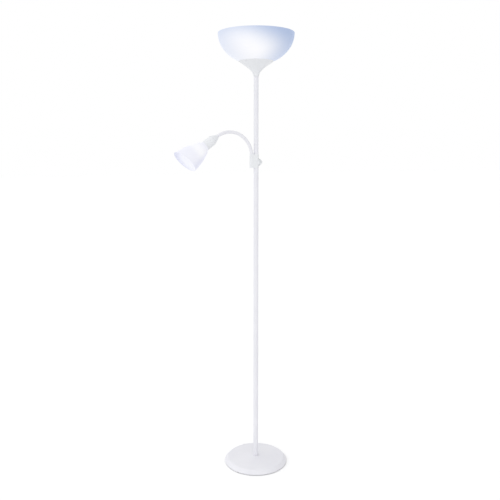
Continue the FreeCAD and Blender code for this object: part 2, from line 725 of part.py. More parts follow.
def ball_end(angle):
    """Ball and stem that stand out of a link's near end."""
    ball = Part.makeSphere(BALL_D / 2, neck_point(angle))
    stem = bent_rod(BALL_STEM_D, angle, angle + arc_degrees(COLLAR_STANDOFF + PAST))
    return ball.fuse(stem)


def socket_form(angle):
    """Hollow that takes the next link's ball."""
    return Part.makeSphere(BALL_D / 2 + RUNNING_GAP, neck_point(angle))


def make_neck_link(index):
    """Bent tube link: ball at the near end, socket at the far end, bore for the wires."""
    near, far = ball_angles()[index], ball_angles()[index + 1]
    body = bent_rod(NECK_D, near + arc_degrees(COLLAR_STANDOFF), far + arc_degrees(BALL_LIP))
    link = body.cut(socket_form(far)).fuse(ball_end(near))
    bore = bent_rod(NECK_BORE_D, near - arc_degrees(BALL_D), far + arc_degrees(BALL_D))
    return link.cut(bore).removeSplitter()


def make_neck_ferrule():
    """Fixed root of the neck: shank in the housing, collar, and the first socket."""
    first = ball_angles()[0]
    collar = lathe(
        (0, HOUSING_TOP),
        (FERRULE_D / 2, HOUSING_TOP),
        (FERRULE_D / 2, HOUSING_TOP + FERRULE_H - FERRULE_CHAMFER),
        (FERRULE_D / 2 - FERRULE_CHAMFER, HOUSING_TOP + FERRULE_H),
        (0, HOUSING_TOP + FERRULE_H),
    )
    collar.translate(Vector(-NECK_OFFSET, 0, 0))
    shank = rod(NECK_SHANK_D, HOUSING_TOP - NECK_SHANK_L, HOUSING_TOP + PAST, -NECK_OFFSET)
    start = arc_degrees(NECK_START_DROP + 0.5 * FERRULE_H)
    tube = bent_rod(NECK_D, start, first + arc_degrees(BALL_LIP))
    solid = collar.fuse(shank).fuse(tube).cut(socket_form(first))
    bore = rod(NECK_BORE_D, HOUSING_TOP - NECK_SHANK_L - PAST, neck_point(first).z, -NECK_OFFSET)
    return solid.cut(bore).removeSplitter()


def make_neck_nut():
    low = HOUSING_TOP - NECK_NUT_DROP - NECK_NUT_T
    return hex_nut(NECK_NUT_AF, NECK_SHANK_D + 2 * THREAD_GAP, low, NECK_NUT_T, -NECK_OFFSET)


# Reading head

def head_place(shape):
    """Shape built along Z from the neck's end, set on the reading head's axis."""
    return along(shape, neck_point(NECK_TURN), neck_heading(NECK_TURN))


def make_neck_tip():
    """Far end of the neck: the last ball, a short tube and the thread inside the cup."""
    last = ball_angles()[-1]
    tube = bent_rod(NECK_D, last + arc_degrees(COLLAR_STANDOFF), NECK_TURN)
    thread = head_place(rod(ROD_D - 2 * THREAD_GAP, -1, TIP_THREAD_L))
    solid = tube.fuse(ball_end(last)).fuse(thread)
    bore = bent_rod(NECK_BORE_D, last - arc_degrees(BALL_D), NECK_TURN)
    straight = head_place(rod(NECK_BORE_D, -JOIN, TIP_THREAD_L + PAST))
    return solid.cut(bore).cut(straight).removeSplitter()


def cup_form(inset, start, end):
    """Solid inside the cup's surface, drawn in by the inset."""
    tail_r = CUP_TAIL_D / 2 - inset
    full_r = CUP_D / 2 - inset
    form = lathe((0, start), (tail_r, start), (full_r, CUP_TAPER_L), (full_r, end), (0, end))
    return form.makeFillet(CUP_ROUND, circle_edges(form, full_r, CUP_TAPER_L))


def make_reading_cup():
    cup = cup_form(0, 0, CUP_L)
    cup = cup.cut(cup_form(CUP_WALL, CUP_WALL, CUP_L + PAST))
    return head_place(cup.cut(rod(ROD_D, -PAST, CUP_L)))


def make_tip_nut():
    return head_place(hex_nut(TIP_NUT_AF, ROD_D, CUP_WALL, TIP_NUT_T))


def small_seat():
    """Distance of the reading shade's seat from the end of the neck."""
    return CUP_L + SHADE_STANDOFF


def make_reading_lampholder():
    start = SMALL_HOLDER_START
    seat = small_seat()
    neck_end = start + SMALL_HOLDER_NECK_L
    body_r = SMALL_HOLDER_D / 2
    flange_r = CUP_D / 2 - CUP_WALL - PUSH_GAP
    outer = lathe(
        (0, start),
        (SMALL_HOLDER_NECK_D / 2, start),
        (SMALL_HOLDER_NECK_D / 2, neck_end),
        (body_r, neck_end + SMALL_HOLDER_SHOULDER_L),
        (body_r, seat - SMALL_HOLDER_FLANGE_T),
        (flange_r, seat - SMALL_HOLDER_FLANGE_T),
        (flange_r, seat),
        (SMALL_HOLDER_FRONT_D / 2, seat),
        (SMALL_HOLDER_FRONT_D / 2, seat + SMALL_HOLDER_FRONT_L),
        (0, seat + SMALL_HOLDER_FRONT_L),
    )
    outer = outer.cut(rod(ROD_D, start - PAST, TIP_THREAD_L + PAST))
    bore = rod(SMALL_HOLDER_BORE_D, SMALL_HOLDER_BORE_START, seat + SMALL_HOLDER_FRONT_L + PAST)
    wires = rod(NECK_BORE_D, start, SMALL_HOLDER_BORE_START + PAST)
    return head_place(outer.cut(bore).cut(wires))


def small_cap_start():
    """Foot of the reading bulb's cap, on the contact."""
    return SMALL_HOLDER_BORE_START + CONTACT_T


def make_reading_contact():
    contact = hollow_rod(SMALL_CONTACT_D, SMALL_CONTACT_BORE_D, SMALL_HOLDER_BORE_START, small_cap_start())
    return head_place(contact)


def bulb_cap(diameter, length, start):
    """Screw cap of a bulb, with its contact button at the foot."""
    r = diameter / 2
    cone_end = start + CAP_BUTTON_H + CAP_CONE_H
    return lathe(
        (0, start),
        (r * CAP_BUTTON_SHARE, start),
        (r * CAP_BUTTON_SHARE, start + CAP_BUTTON_H),
        (r * CAP_CONE_SHARE, cone_end),
        (r, cone_end + CAP_SHOULDER_H),
        (r, start + length),
        (0, start + length),
    )


def make_reading_bulb_cap():
    return head_place(bulb_cap(SMALL_CAP_D, SMALL_CAP_L, small_cap_start()))


def globe_form(neck_r, low, collar_z, globe_r, globe_z):
    """Neck that swells by a smooth arc into a round globe."""
    join_angle = math.radians(BULB_JOIN_ANGLE)
    join = Vector(globe_r * math.cos(join_angle), 0, globe_z - globe_r * math.sin(join_angle))
    collar = Vector(neck_r, 0, collar_z)
    middle = sagging_point(collar, join, (join - collar).Length * BULB_NECK_BOW)
    return lathe(
        (0, low),
        (neck_r, low),
        (neck_r, collar_z),
        (middle.x, middle.z, join.x, join.z),
        (globe_r, globe_z, 0, globe_z + globe_r),
    )


def bulb_glass(cap_end, cap_d, globe_d, globe_z):
    """Thin sealed glass of a bulb, standing on its cap."""
    neck_r = cap_d / 2
    globe_r = globe_d / 2
    collar_z = cap_end + BULB_COLLAR_H
    outer = globe_form(neck_r, cap_end, collar_z, globe_r, globe_z)
    room = globe_form(neck_r - GLASS_T, cap_end + GLASS_T, collar_z, globe_r - GLASS_T, globe_z)
    return outer.cut(room)


def make_reading_bulb_glass():
    cap_end = small_cap_start() + SMALL_CAP_L
    return head_place(bulb_glass(cap_end, SMALL_CAP_D, SMALL_GLOBE_D, SMALL_GLOBE_AT))


def notched_ring(outer, bore, low, thickness):
    """Clamping ring with finger notches round its edge."""
    ring = hollow_rod(outer, bore, low, low + thickness)
    notch = rod(RING_NOTCH_D, low - PAST, low + thickness + PAST)
    return ring.cut(Part.makeCompound(around(notch, RING_NOTCHES, outer / 2 + RING_NOTCH_OUT)))


def make_reading_shade_ring():
    low = small_seat() + SHADE_FLANGE_T
    return head_place(notched_ring(SMALL_RING_D, SMALL_HOLDER_FRONT_D + 2 * THREAD_GAP, low, SMALL_RING_T))


def bell_points():
    """Points of the bell's outer outline, from the collar to the mouth."""
    seat = small_seat()
    points = [Vector(SHADE_COLLAR_D / 2, 0, seat + SHADE_FLANGE_T)]
    for share, diameter in SHADE_CURVE:
        points.append(Vector(diameter / 2, 0, seat + share * SHADE_L))
    points.append(Vector(SHADE_MOUTH_D / 2, 0, seat + SHADE_L))
    return points


def curve_through(points):
    curve = Part.BSplineCurve()
    curve.interpolate(points)
    return curve


def inward_points(points, curve, wall):
    """Points moved from a rising curve towards the axis by a wall's thickness."""
    moved = []
    for point in points:
        tangent = curve.tangent(curve.parameter(point))[0]
        moved.append(point + Vector(-tangent.z, 0, tangent.x).normalize() * wall)
    return moved


def make_reading_shade():
    """Bell shade with an even wall, a flat collar flange and a leaning mouth."""
    seat = small_seat()
    points = bell_points()
    outer = curve_through(points)
    inner_points = inward_points(points, outer, SHADE_WALL)
    inner_points[0] = Vector(inner_points[0].x, 0, seat + SHADE_FLANGE_T)
    inner = curve_through(inner_points)
    collar = points[0]
    hole_r = SMALL_HOLDER_FRONT_D / 2 + SEAT_GAP
    edges = [
        outer.toShape(),
        Part.makeLine(points[-1], inner_points[-1]),
        inner.toShape(),
        Part.makeLine(inner_points[0], Vector(hole_r, 0, seat + SHADE_FLANGE_T)),
        Part.makeLine(Vector(hole_r, 0, seat + SHADE_FLANGE_T), Vector(hole_r, 0, seat)),
        Part.makeLine(Vector(hole_r, 0, seat), Vector(collar.x, 0, seat)),
        Part.makeLine(Vector(collar.x, 0, seat), collar),
    ]
    bell = turn_edges(edges)
    beyond = rod(2 * SHADE_L, 0, SHADE_L)
    beyond.rotate(ORIGIN, BACK, -SHADE_CUT_TILT)
    beyond.rotate(ORIGIN, UP, SHADE_CUT_TURN)
    beyond.translate(Vector(0, 0, seat + SHADE_CUT_AT))
    return head_place(bell.cut(beyond))


# Uplighter

def ellipse_arc(centre_z, half_w, half_h, r_from, r_to):
    """Arc of an ellipse below its centre, between two radii, as an edge."""
    across = Vector(half_w, 0, centre_z)
    down = Vector(0, 0, centre_z - half_h)
    centre = Vector(0, 0, centre_z)
    if half_w >= half_h:
        ellipse = Part.Ellipse(across, down, centre)
        start, end = math.acos(r_to / half_w), math.acos(r_from / half_w)
    else:
        ellipse = Part.Ellipse(down, Vector(-half_w, 0, centre_z), centre)
        start, end = -math.asin(r_to / half_w), -math.asin(r_from / half_w)
    return Part.ArcOfEllipse(ellipse, min(start, end), max(start, end)).toShape()


def bowl_centre_z():
    """Height of the bowl's rim, where its outer ellipse has its centre."""
    seat_drop = BOWL_DEPTH * math.sqrt(1 - (BOWL_SEAT_D / BOWL_D) ** 2)
    return BOWL_SEAT_Z + seat_drop


def bowl_envelope(gap):
    """Solid bounded by the bowl's outer surface, grown by a gap, and cut off at its rim."""
    centre = bowl_centre_z()
    half_w = BOWL_D / 2 + gap
    half_h = BOWL_DEPTH + gap
    edges = [
        ellipse_arc(centre, half_w, half_h, 0, half_w),
        Part.makeLine(Vector(half_w, 0, centre), Vector(0, 0, centre)),
        Part.makeLine(Vector(0, 0, centre), Vector(0, 0, centre - half_h)),
    ]
    return turn_edges(edges)


def make_bowl_shade():
    """Open half-ellipsoid with an even wall, a rounded rim and a flat seat round its hole."""
    centre = bowl_centre_z()
    half_w = BOWL_D / 2
    inner_w = half_w - BOWL_WALL
    inner_h = BOWL_DEPTH - BOWL_WALL
    floor = BOWL_SEAT_Z + BOWL_WALL
    seat_r = BOWL_SEAT_D / 2
    hole_r = BOWL_HOLE_D / 2
    inner_seat_r = inner_w * math.sqrt(max(0.0, 1 - ((centre - floor) / inner_h) ** 2))
    rim_out = Vector(half_w, 0, centre)
    rim_in = Vector(inner_w, 0, centre)
    rim_top = Vector(half_w - BOWL_WALL / 2, 0, centre + BOWL_WALL / 2)
    edges = [
        ellipse_arc(centre, half_w, BOWL_DEPTH, seat_r, half_w),
        Part.Arc(rim_out, rim_top, rim_in).toShape(),
        ellipse_arc(centre, inner_w, inner_h, inner_seat_r, inner_w),
        Part.makeLine(Vector(inner_seat_r, 0, floor), Vector(hole_r, 0, floor)),
        Part.makeLine(Vector(hole_r, 0, floor), Vector(hole_r, 0, BOWL_SEAT_Z)),
        Part.makeLine(Vector(hole_r, 0, BOWL_SEAT_Z), Vector(seat_r, 0, BOWL_SEAT_Z)),
    ]
    return turn_edges(edges)


def funnel_points():
    """Points of the flare's outer outline, from the foot to the rim."""
    foot_z = TOP_TUBE_END - FUNNEL_SLEEVE_L
    top_z = bowl_centre_z() - BOWL_DEPTH * math.sqrt(1 - (FUNNEL_TOP_D / BOWL_D) ** 2) - FUNNEL_RIM_H
    points = [Vector(FUNNEL_FOOT_D / 2, 0, foot_z)]
    for share, diameter in FUNNEL_CURVE:
        points.append(Vector(diameter / 2, 0, foot_z + share * (top_z - foot_z)))
    points.append(Vector(FUNNEL_TOP_D / 2, 0, top_z))
    return points


def funnel_form(points, curve, roof_z):
    """Solid inside a flare's outline, up to a roof."""
    foot, top = points[0], points[-1]
    edges = [
        curve.toShape(),
        Part.makeLine(top, Vector(top.x, 0, roof_z)),
        Part.makeLine(Vector(top.x, 0, roof_z), Vector(0, 0, roof_z)),
        Part.makeLine(Vector(0, 0, roof_z), Vector(0, 0, foot.z)),
        Part.makeLine(Vector(0, 0, foot.z), foot),
    ]
    return turn_edges(edges)


def make_funnel():
    """Trumpet-shaped cover between the top tube and the bowl, with a web on the tube's end."""
    points = funnel_points()
    flare = curve_through(points)
    inner_points = inward_points(points, flare, FUNNEL_WALL)
    roof_z = BOWL_SEAT_Z + BOWL_DEPTH
    outer = funnel_form(points, flare, roof_z)
    room = funnel_form(inner_points, curve_through(inner_points), roof_z)
    web = rod(FUNNEL_TOP_D, TOP_TUBE_END, FUNNEL_WEB_TOP).common(outer)
    tube_way = rod(TOP_TUBE_D + 2 * PUSH_GAP, points[0].z - PAST, TOP_TUBE_END)
    shell = outer.cut(room).fuse(web).cut(tube_way)
    shell = shell.cut(rod(ROD_D + 2 * THREAD_GAP, points[0].z, roof_z))
    return shell.cut(bowl_envelope(SEAT_GAP)).cut(above_bowl()).removeSplitter()


def above_bowl():
    """Block over the bowl's rim."""
    rim = bowl_centre_z()
    return rod(2 * BOWL_D, rim - PAST, rim + 2 * BOWL_DEPTH)


def make_top_rod():
    return hollow_rod(ROD_D, ROD_BORE_D, TOP_TUBE_END - ROD_GRIP, HOLDER_Z + HOLDER_NECK_L - HOLDER_ROD_GAP)


def make_top_nut():
    return hex_nut(ROD_NUT_AF, ROD_D + 2 * THREAD_GAP, FUNNEL_WEB_TOP, ROD_NUT_T)


def holder_bore_z():
    """Floor of the uplighter lampholder's bore."""
    return HOLDER_Z + HOLDER_NECK_L + HOLDER_FLOOR


def make_top_lampholder():
    z1 = HOLDER_Z + HOLDER_NECK_L
    z2 = z1 + HOLDER_BODY_L
    body_r = HOLDER_D / 2
    neck_r = HOLDER_NECK_D / 2
    outer = lathe(
        (0, HOLDER_Z),
        (neck_r, HOLDER_Z),
        (neck_r, z1 - HOLDER_CHAMFER),
        (body_r - HOLDER_CHAMFER, z1),
        (body_r, z1 + HOLDER_CHAMFER),
        (body_r, z2),
        (HOLDER_FLANGE_D / 2, z2),
        (HOLDER_FLANGE_D / 2, BOWL_SEAT_Z),
        (HOLDER_FRONT_D / 2, BOWL_SEAT_Z),
        (HOLDER_FRONT_D / 2, BOWL_SEAT_Z + HOLDER_FRONT_L),
        (0, BOWL_SEAT_Z + HOLDER_FRONT_L),
    )
    outer = outer.cut(rod(ROD_D + 2 * THREAD_GAP, HOLDER_Z - PAST, z1))
    bore = rod(HOLDER_BORE_D, holder_bore_z(), BOWL_SEAT_Z + HOLDER_FRONT_L + PAST)
    return outer.cut(bore).cut(rod(ROD_BORE_D, z1 - PAST, holder_bore_z() + PAST))


def cap_start():
    """Foot of the uplighter bulb's cap, on the contact."""
    return holder_bore_z() + CONTACT_T


def make_top_contact():
    return hollow_rod(CONTACT_D, CONTACT_BORE_D, holder_bore_z(), cap_start())


def make_top_bulb_cap():
    return bulb_cap(CAP_D, CAP_L, cap_start())


def make_top_bulb_glass():
    cap_end = cap_start() + CAP_L
    return bulb_glass(cap_end, CAP_D, GLOBE_D, cap_end + GLOBE_RISE)


def make_bowl_ring():
    low = BOWL_SEAT_Z + BOWL_WALL
    return notched_ring(RING_D, HOLDER_FRONT_D + 2 * THREAD_GAP, low, RING_T)


def make_uplight_lead():
    """Straight lead from the switch to the uplighter's lampholder."""
    low = KNOB_Z + SWITCH_BODY_D / 2
    return rod(UPLIGHT_LEAD_D, low, holder_bore_z())


def build():
    """Every node's name and shape."""
    nodes = {
        "base_cover": make_base_cover(),
        "base_weight": make_base_weight(),
        "base_bottom_plate": make_base_plate(),
        "base_plate_screws": make_plate_screws(),
        "base_pad": make_base_pad(),
        "base_rod": make_base_rod(),
        "base_washer": make_base_washer(),
        "base_nut": make_base_nut(),
        "cord_grommet": make_cord_grommet(),
        "tube_bushes": make_tube_bushes(),
        "tube_joint_rods": make_joint_rods(),
        "top_tube": make_top_tube(),
        "top_tube_bush": make_top_bush(),
        "housing_front": make_housing_half(True),
        "housing_back": make_housing_half(False),
        "housing_screws": make_housing_screws(),
        "switch_body": make_switch_body(),
        "switch_nut": make_switch_nut(),
        "switch_shaft": make_switch_shaft(),
        "switch_knob": make_switch_knob(),
        "neck_ferrule": make_neck_ferrule(),
        "neck_nut": make_neck_nut(),
        "neck_tip": make_neck_tip(),
        "neck_tip_nut": make_tip_nut(),
        "reading_cup": make_reading_cup(),
        "reading_lampholder": make_reading_lampholder(),
        "reading_contact": make_reading_contact(),
        "reading_bulb_cap": make_reading_bulb_cap(),
        "reading_bulb_glass": make_reading_bulb_glass(),
        "reading_shade_ring": make_reading_shade_ring(),
        "reading_shade": make_reading_shade(),
        "funnel_cover": make_funnel(),
        "top_rod": make_top_rod(),
        "top_nut": make_top_nut(),
        "top_lampholder": make_top_lampholder(),
        "top_contact": make_top_contact(),
        "top_bulb_cap": make_top_bulb_cap(),
        "top_bulb_glass": make_top_bulb_glass(),
        "bowl_ring": make_bowl_ring(),
        "bowl_shade": make_bowl_shade(),
        "uplight_lead": make_uplight_lead(),
    }
    for i in range(TUBE_COUNT):
        nodes["pole_tube_%d" % (i + 1)] = make_pole_tube(i)
    for i in range(NECK_BALLS - 1):
        nodes["neck_link_%d" % (i + 1)] = make_neck_link(i)
    return nodes


def main():
    os.makedirs("parts", exist_ok=True)
    for name, shape in build().items():
        shape.exportStep("parts/%s.step" % name)
        volume = shape.Volume / 1000
        print("%s: %d solid(s), %.2f cm3, valid %s" % (name, len(shape.Solids), volume, shape.isValid()))


main()
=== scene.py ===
"""Looks of a white torchiere floor lamp with a reading light on a bendable neck.

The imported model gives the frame: every size that it states is read from its boxes
and joints, in metres. Each sub-assembly below is a class that builds its visible
pieces round that frame and says what it made. The nodes that stay as they are get
their finishes from the table KEPT_NODES. The lamp stands on z = 0 with its pole on
the Z axis. The neck reaches towards -X and the switch knob faces +X.
"""
from __future__ import annotations

import json
import logging
import math
from dataclasses import dataclass
from enum import Enum, IntEnum
from typing import Callable, Mapping, Sequence, Union

import bmesh
import bpy
from mathutils import Matrix, Vector

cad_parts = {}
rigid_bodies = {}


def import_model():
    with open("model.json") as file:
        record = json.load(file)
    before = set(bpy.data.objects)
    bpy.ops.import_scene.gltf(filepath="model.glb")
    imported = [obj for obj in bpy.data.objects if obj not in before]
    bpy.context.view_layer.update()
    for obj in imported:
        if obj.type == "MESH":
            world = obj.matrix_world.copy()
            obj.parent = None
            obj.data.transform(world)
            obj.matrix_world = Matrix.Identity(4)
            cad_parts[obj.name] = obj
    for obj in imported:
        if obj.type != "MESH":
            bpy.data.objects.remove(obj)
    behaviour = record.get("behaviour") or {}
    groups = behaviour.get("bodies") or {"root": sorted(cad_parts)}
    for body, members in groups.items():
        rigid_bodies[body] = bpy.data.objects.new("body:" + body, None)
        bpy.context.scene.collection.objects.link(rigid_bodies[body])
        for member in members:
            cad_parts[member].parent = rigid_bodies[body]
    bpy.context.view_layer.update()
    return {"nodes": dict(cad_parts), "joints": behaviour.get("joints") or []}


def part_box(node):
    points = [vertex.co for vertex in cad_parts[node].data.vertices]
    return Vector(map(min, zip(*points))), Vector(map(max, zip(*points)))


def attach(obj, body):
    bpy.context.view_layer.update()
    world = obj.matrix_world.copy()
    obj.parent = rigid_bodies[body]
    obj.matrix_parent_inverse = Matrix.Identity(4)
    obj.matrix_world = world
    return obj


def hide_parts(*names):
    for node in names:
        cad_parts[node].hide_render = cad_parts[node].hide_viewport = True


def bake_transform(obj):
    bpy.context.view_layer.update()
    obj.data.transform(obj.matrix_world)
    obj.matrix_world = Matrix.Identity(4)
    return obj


LOG = logging.getLogger("lamp")

Point2 = tuple[float, float]
Triple = tuple[float, float, float]
Socket = bpy.types.NodeSocket
Material = bpy.types.Material
Piece = bpy.types.Object
Feed = Union[Socket, bpy.types.Node, Vector, float, Sequence[float]]
Feeds = Mapping[Union[str, int], Feed]

MM = 0.001
SHARP_ANGLE = math.radians(32.0)
# A turned outline's point that is closer to the axis than this lies on it.
ON_AXIS = 1e-6
SAME_SPOT = 1e-7
# Share of a side that the rounding of one corner may take.
ROUNDING_LIMIT = 0.49
# Angle of the neck's arc at which the reading head begins.
NECK_END_TURN = math.radians(126.5)
UPLIGHT_GLOBE = 30.0 * MM
READING_GLOBE = 22.5 * MM
READING_GLOBE_AT = 104.0 * MM
INSIDE_MARK = "inside"
WHITE = (1.0, 1.0, 1.0, 1.0)
UP = Vector((0.0, 0.0, 1.0))


class Body(Enum):
    """Rigid bodies that the pieces ride on."""

    STAND = "stand"
    HEAD = "reading_head"
    KNOB = "switch_knob"


class Slot(Enum):
    """Material slots of the record, one named for each new piece."""

    PAINT = "white_paint"
    PLASTIC = "white_plastic"
    BOWL = "bowl_plastic"
    BELL = "reading_shade_plastic"
    HOLDER = "holder_plastic"
    STEEL = "zinc_steel"
    GLASS = "bulb_glass"
    GROMMET = "grommet_rubber"


class Finish(Enum):
    """Finishes of the lamp, by the names of their materials."""

    PAINT = "white powder coat"
    PLASTIC = "white moulded plastic"
    HOLDER = "white lampholder plastic"
    BOWL = "lit bowl plastic"
    BELL = "lit bell plastic"
    UPLIGHT_BULB = "lit uplight bulb"
    READING_BULB = "lit reading bulb"
    STEEL = "bright zinc plate"
    PLATE = "rolled bottom plate"
    BRASS = "stamped brass"
    CAP = "rolled cap metal"
    IRON = "cast iron"
    BLACK = "black switch plastic"
    FOAM = "pad foam"
    GROMMET = "soft white rubber"
    SHEATH = "lead sheath"


class Round(IntEnum):
    """Faces round a turned piece."""

    RIB = 12
    SCREW = 32
    SMALL = 64
    TUBE = 96
    BULB = 128
    SHADE = 160
    DISC = 192
    KNOB = 224


KEPT_NODES: dict[Finish, tuple[str, ...]] = {
    Finish.PLATE: ("base_bottom_plate",),
    Finish.FOAM: ("base_pad",),
    Finish.IRON: ("base_weight",),
    Finish.STEEL: (
        "base_rod", "base_washer", "base_nut", "tube_bushes", "tube_joint_rods", "top_tube_bush",
        "housing_screws", "switch_nut", "switch_shaft", "neck_nut", "neck_tip_nut", "top_rod", "top_nut",
    ),
    Finish.PLASTIC: ("housing_front", "housing_back"),
    Finish.HOLDER: ("top_lampholder", "reading_lampholder"),
    Finish.BRASS: ("top_contact", "reading_contact"),
    Finish.CAP: ("top_bulb_cap", "reading_bulb_cap"),
    Finish.BLACK: ("switch_body",),
    Finish.SHEATH: ("uplight_lead",),
}


# Node trees


class Wiring:
    """Adds nodes to a tree and joins them."""

    def __init__(self, tree: bpy.types.NodeTree) -> None:
        """Work on a tree."""
        self.tree = tree

    def feed(self, node: bpy.types.Node, key: str | int, value: Feed) -> None:
        """Give an input of a node its value.

        Args:
            node: The node.
            key: The input's name or number.
            value: An output, a node for its first output, or a constant.
        """
        if isinstance(value, bpy.types.Node):
            value = value.outputs[0]
        if isinstance(value, Socket):
            self.tree.links.new(value, node.inputs[key])
        else:
            node.inputs[key].default_value = value

    def add(self, kind: str, feeds: Feeds | None = None, **settings: object) -> bpy.types.Node:
        """Add a node.

        Args:
            kind: The node's type.
            feeds: What its inputs take.
            settings: The node's own properties, which are set first.

        Returns:
            The node.
        """
        node = self.tree.nodes.new(kind)
        for name, setting in settings.items():
            setattr(node, name, setting)
        for key, value in (feeds or {}).items():
            self.feed(node, key, value)
        return node

    def maths(self, operation: str, first: Feed, second: Feed) -> Socket:
        """Result of an operation on two values."""
        return self.add("ShaderNodeMath", {0: first, 1: second}, operation=operation).outputs["Value"]

    def dot(self, place: Feed, direction: Feed) -> Socket:
        """Length of a vector along a direction."""
        feeds = {0: place, 1: direction}
        return self.add("ShaderNodeVectorMath", feeds, operation="DOT_PRODUCT").outputs["Value"]

    def span(
        self, value: Feed, low: Feed, high: float, start: float = 0.0, end: float = 1.0, smooth: bool = False
    ) -> Socket:
        """Map a value from start..end to low..high.

        Args:
            value: What is mapped.
            low: Result at start.
            high: Result at end.
            start: Where the mapping begins.
            end: Where it ends.
            smooth: Ease in and out.

        Returns:
            The mapped value.
        """
        feeds = {"Value": value, "From Min": start, "From Max": end, "To Min": low, "To Max": high}
        kind = "SMOOTHERSTEP" if smooth else "LINEAR"
        return self.add("ShaderNodeMapRange", feeds, interpolation_type=kind).outputs["Result"]

    def seen(self, *kinds: str) -> Socket:
        """Tell some rays from the rest.

        Args:
            kinds: Outputs of Light Path.

        Returns:
            1 for a ray of any of these kinds, and 0 for any other.
        """
        rays = self.add("ShaderNodeLightPath").outputs
        level = rays[kinds[0]]
        for kind in kinds[1:]:
            level = self.maths("MAXIMUM", level, rays[kind])
        return level


class ShaderTree(Wiring):
    """One material's tree, with the patterns that its finish is drawn from."""

    def __init__(self, name: str) -> None:
        """Start an empty material.

        Args:
            name: The material's name.
        """
        self.material = bpy.data.materials.new(name)
        self.material.use_nodes = True
        super().__init__(self.material.node_tree)
        self.tree.nodes.clear()
        self.shader = self.add("ShaderNodeBsdfPrincipled")
        self.add("ShaderNodeOutputMaterial", {"Surface": self.shader})
        self.coords = self.add("ShaderNodeTexCoord").outputs["Object"]

    def surface(self, **feeds: Feed) -> None:
        """Set or link the shader's own sockets, with _ for a space in their names."""
        for name, value in feeds.items():
            self.feed(self.shader, name.replace("_", " "), value)

    def stretched(self, scale: Triple) -> Socket:
        """Object coordinates, scaled on each axis."""
        return self.add("ShaderNodeMapping", {"Vector": self.coords, "Scale": scale}).outputs["Vector"]

    def noise(
        self, scale: float, detail: float = 3.0, roughness: float = 0.5, vector: Socket | None = None
    ) -> Socket:
        """Soft random pattern.

        Args:
            scale: Cells in a metre.
            detail: Octaves.
            roughness: Weight of the finer octaves.
            vector: Coordinates, or None for the object's own.

        Returns:
            The pattern's value, about 0 to 1.
        """
        feeds = {"Vector": vector or self.coords, "Scale": scale, "Detail": detail, "Roughness": roughness}
        return self.add("ShaderNodeTexNoise", feeds).outputs["Fac"]

    def cells(self, scale: float) -> Socket:
        """Distance to the nearest of scattered points, for pores."""
        return self.add("ShaderNodeTexVoronoi", {"Vector": self.coords, "Scale": scale}).outputs["Distance"]

    def mixed(self, factor: Socket, first: Triple | Socket, second: Triple | Socket) -> Socket:
        """Colour between two colours.

        Args:
            factor: 0 for the first and 1 for the second.
            first: Linear colour, or a colour output.
            second: The same.

        Returns:
            The colour output.
        """
        node = self.add("ShaderNodeMix", {"Factor": factor}, data_type="RGBA")
        for key, colour in (("A", first), ("B", second)):
            self.feed(node, key, (*colour, 1.0) if isinstance(colour, tuple) else colour)
        return node.outputs["Result"]

    def mark(self, name: str) -> Socket:
        """Value that the piece's faces carry under a name."""
        return self.add("ShaderNodeAttribute", attribute_name=name).outputs["Fac"]

    def times(self, first: Feed, second: Feed) -> Socket:
        """Product of two values."""
        return self.maths("MULTIPLY", first, second)

    def from_origin(self) -> Socket:
        """Distance of the surface from the frame's origin, in metres."""
        return self.add("ShaderNodeVectorMath", {0: self.coords}, operation="LENGTH").outputs["Value"]

    def bump(self, height: Socket, depth: float) -> Socket:
        """Normal of a relief whose pattern, 0 to 1, stands for a depth in metres."""
        feeds = {"Height": height, "Distance": depth, "Strength": 1.0}
        return self.add("ShaderNodeBump", feeds).outputs["Normal"]


# Finishes


@dataclass(frozen=True)
class WhiteCoat:
    """Opaque paint or moulding: even colour, fine orange peel and a satin sheen."""

    colour: Triple
    shade: Triple
    roughness: Point2
    peel_scale: float
    peel_depth: float
    specular: float = 0.4
    cloud_scale: float = 9.0
    cloud_edge: Point2 = (0.35, 0.65)
    sheen_scale: float = 45.0
    sheen_edge: Point2 = (0.3, 0.7)

    def build(self, name: str) -> Material:
        """Make the material.

        Args:
            name: Its name.

        Returns:
            The material.
        """
        tree = ShaderTree(name)
        cloud = tree.span(tree.noise(self.cloud_scale, detail=2.0), 0.0, 1.0, *self.cloud_edge, True)
        peel = tree.noise(self.peel_scale, detail=2.0, roughness=0.6)
        tree.surface(
            Specular_IOR_Level=self.specular,
            Base_Color=tree.mixed(cloud, self.colour, self.shade),
            Roughness=tree.span(tree.noise(self.sheen_scale), *self.roughness, *self.sheen_edge),
            Normal=tree.bump(peel, self.peel_depth),
        )
        return tree.material


@dataclass(frozen=True)
class Fade:
    """Fall of a glow along a direction, for the bulb's light and for painted shade: from a start measured
    from the bulb, over a reach, to a level.
    """

    direction: Vector
    reach: float
    level: float
    start: float = 0.0


@dataclass(frozen=True)
class GlowWithPaintedShade:
    """Light that comes through or off one side of a shade: bright by the bulb, dim where it has faded. Fades
    that stand for light falling from one side make the dim colour painted shade.
    """

    bright: Triple
    dim: Triple
    fades: tuple[Fade, ...]
    unevenness: Point2 = (0.97, 1.03)

    def colour(self, tree: ShaderTree, cloud: Socket, bulb: Vector) -> Socket:
        """Add the nodes of the glow and of its painted shade.

        Args:
            tree: The shade's material.
            cloud: Slow variation of the plastic, 0 to 1.
            bulb: Point that the fades are measured from.

        Returns:
            The glow's colour, with the painted shade in it.
        """
        lit = tree.span(cloud, *self.unevenness)
        for fade in self.fades:
            start = bulb.dot(fade.direction) + fade.start
            reach = tree.dot(tree.coords, fade.direction)
            lit = tree.times(lit, tree.span(reach, 1.0, fade.level, start, start + fade.reach, True))
        # Mix from the dim colour, which is painted shade where the fades stand for light from one side, to
        # the bright one.
        return tree.mixed(lit, self.dim, self.bright)


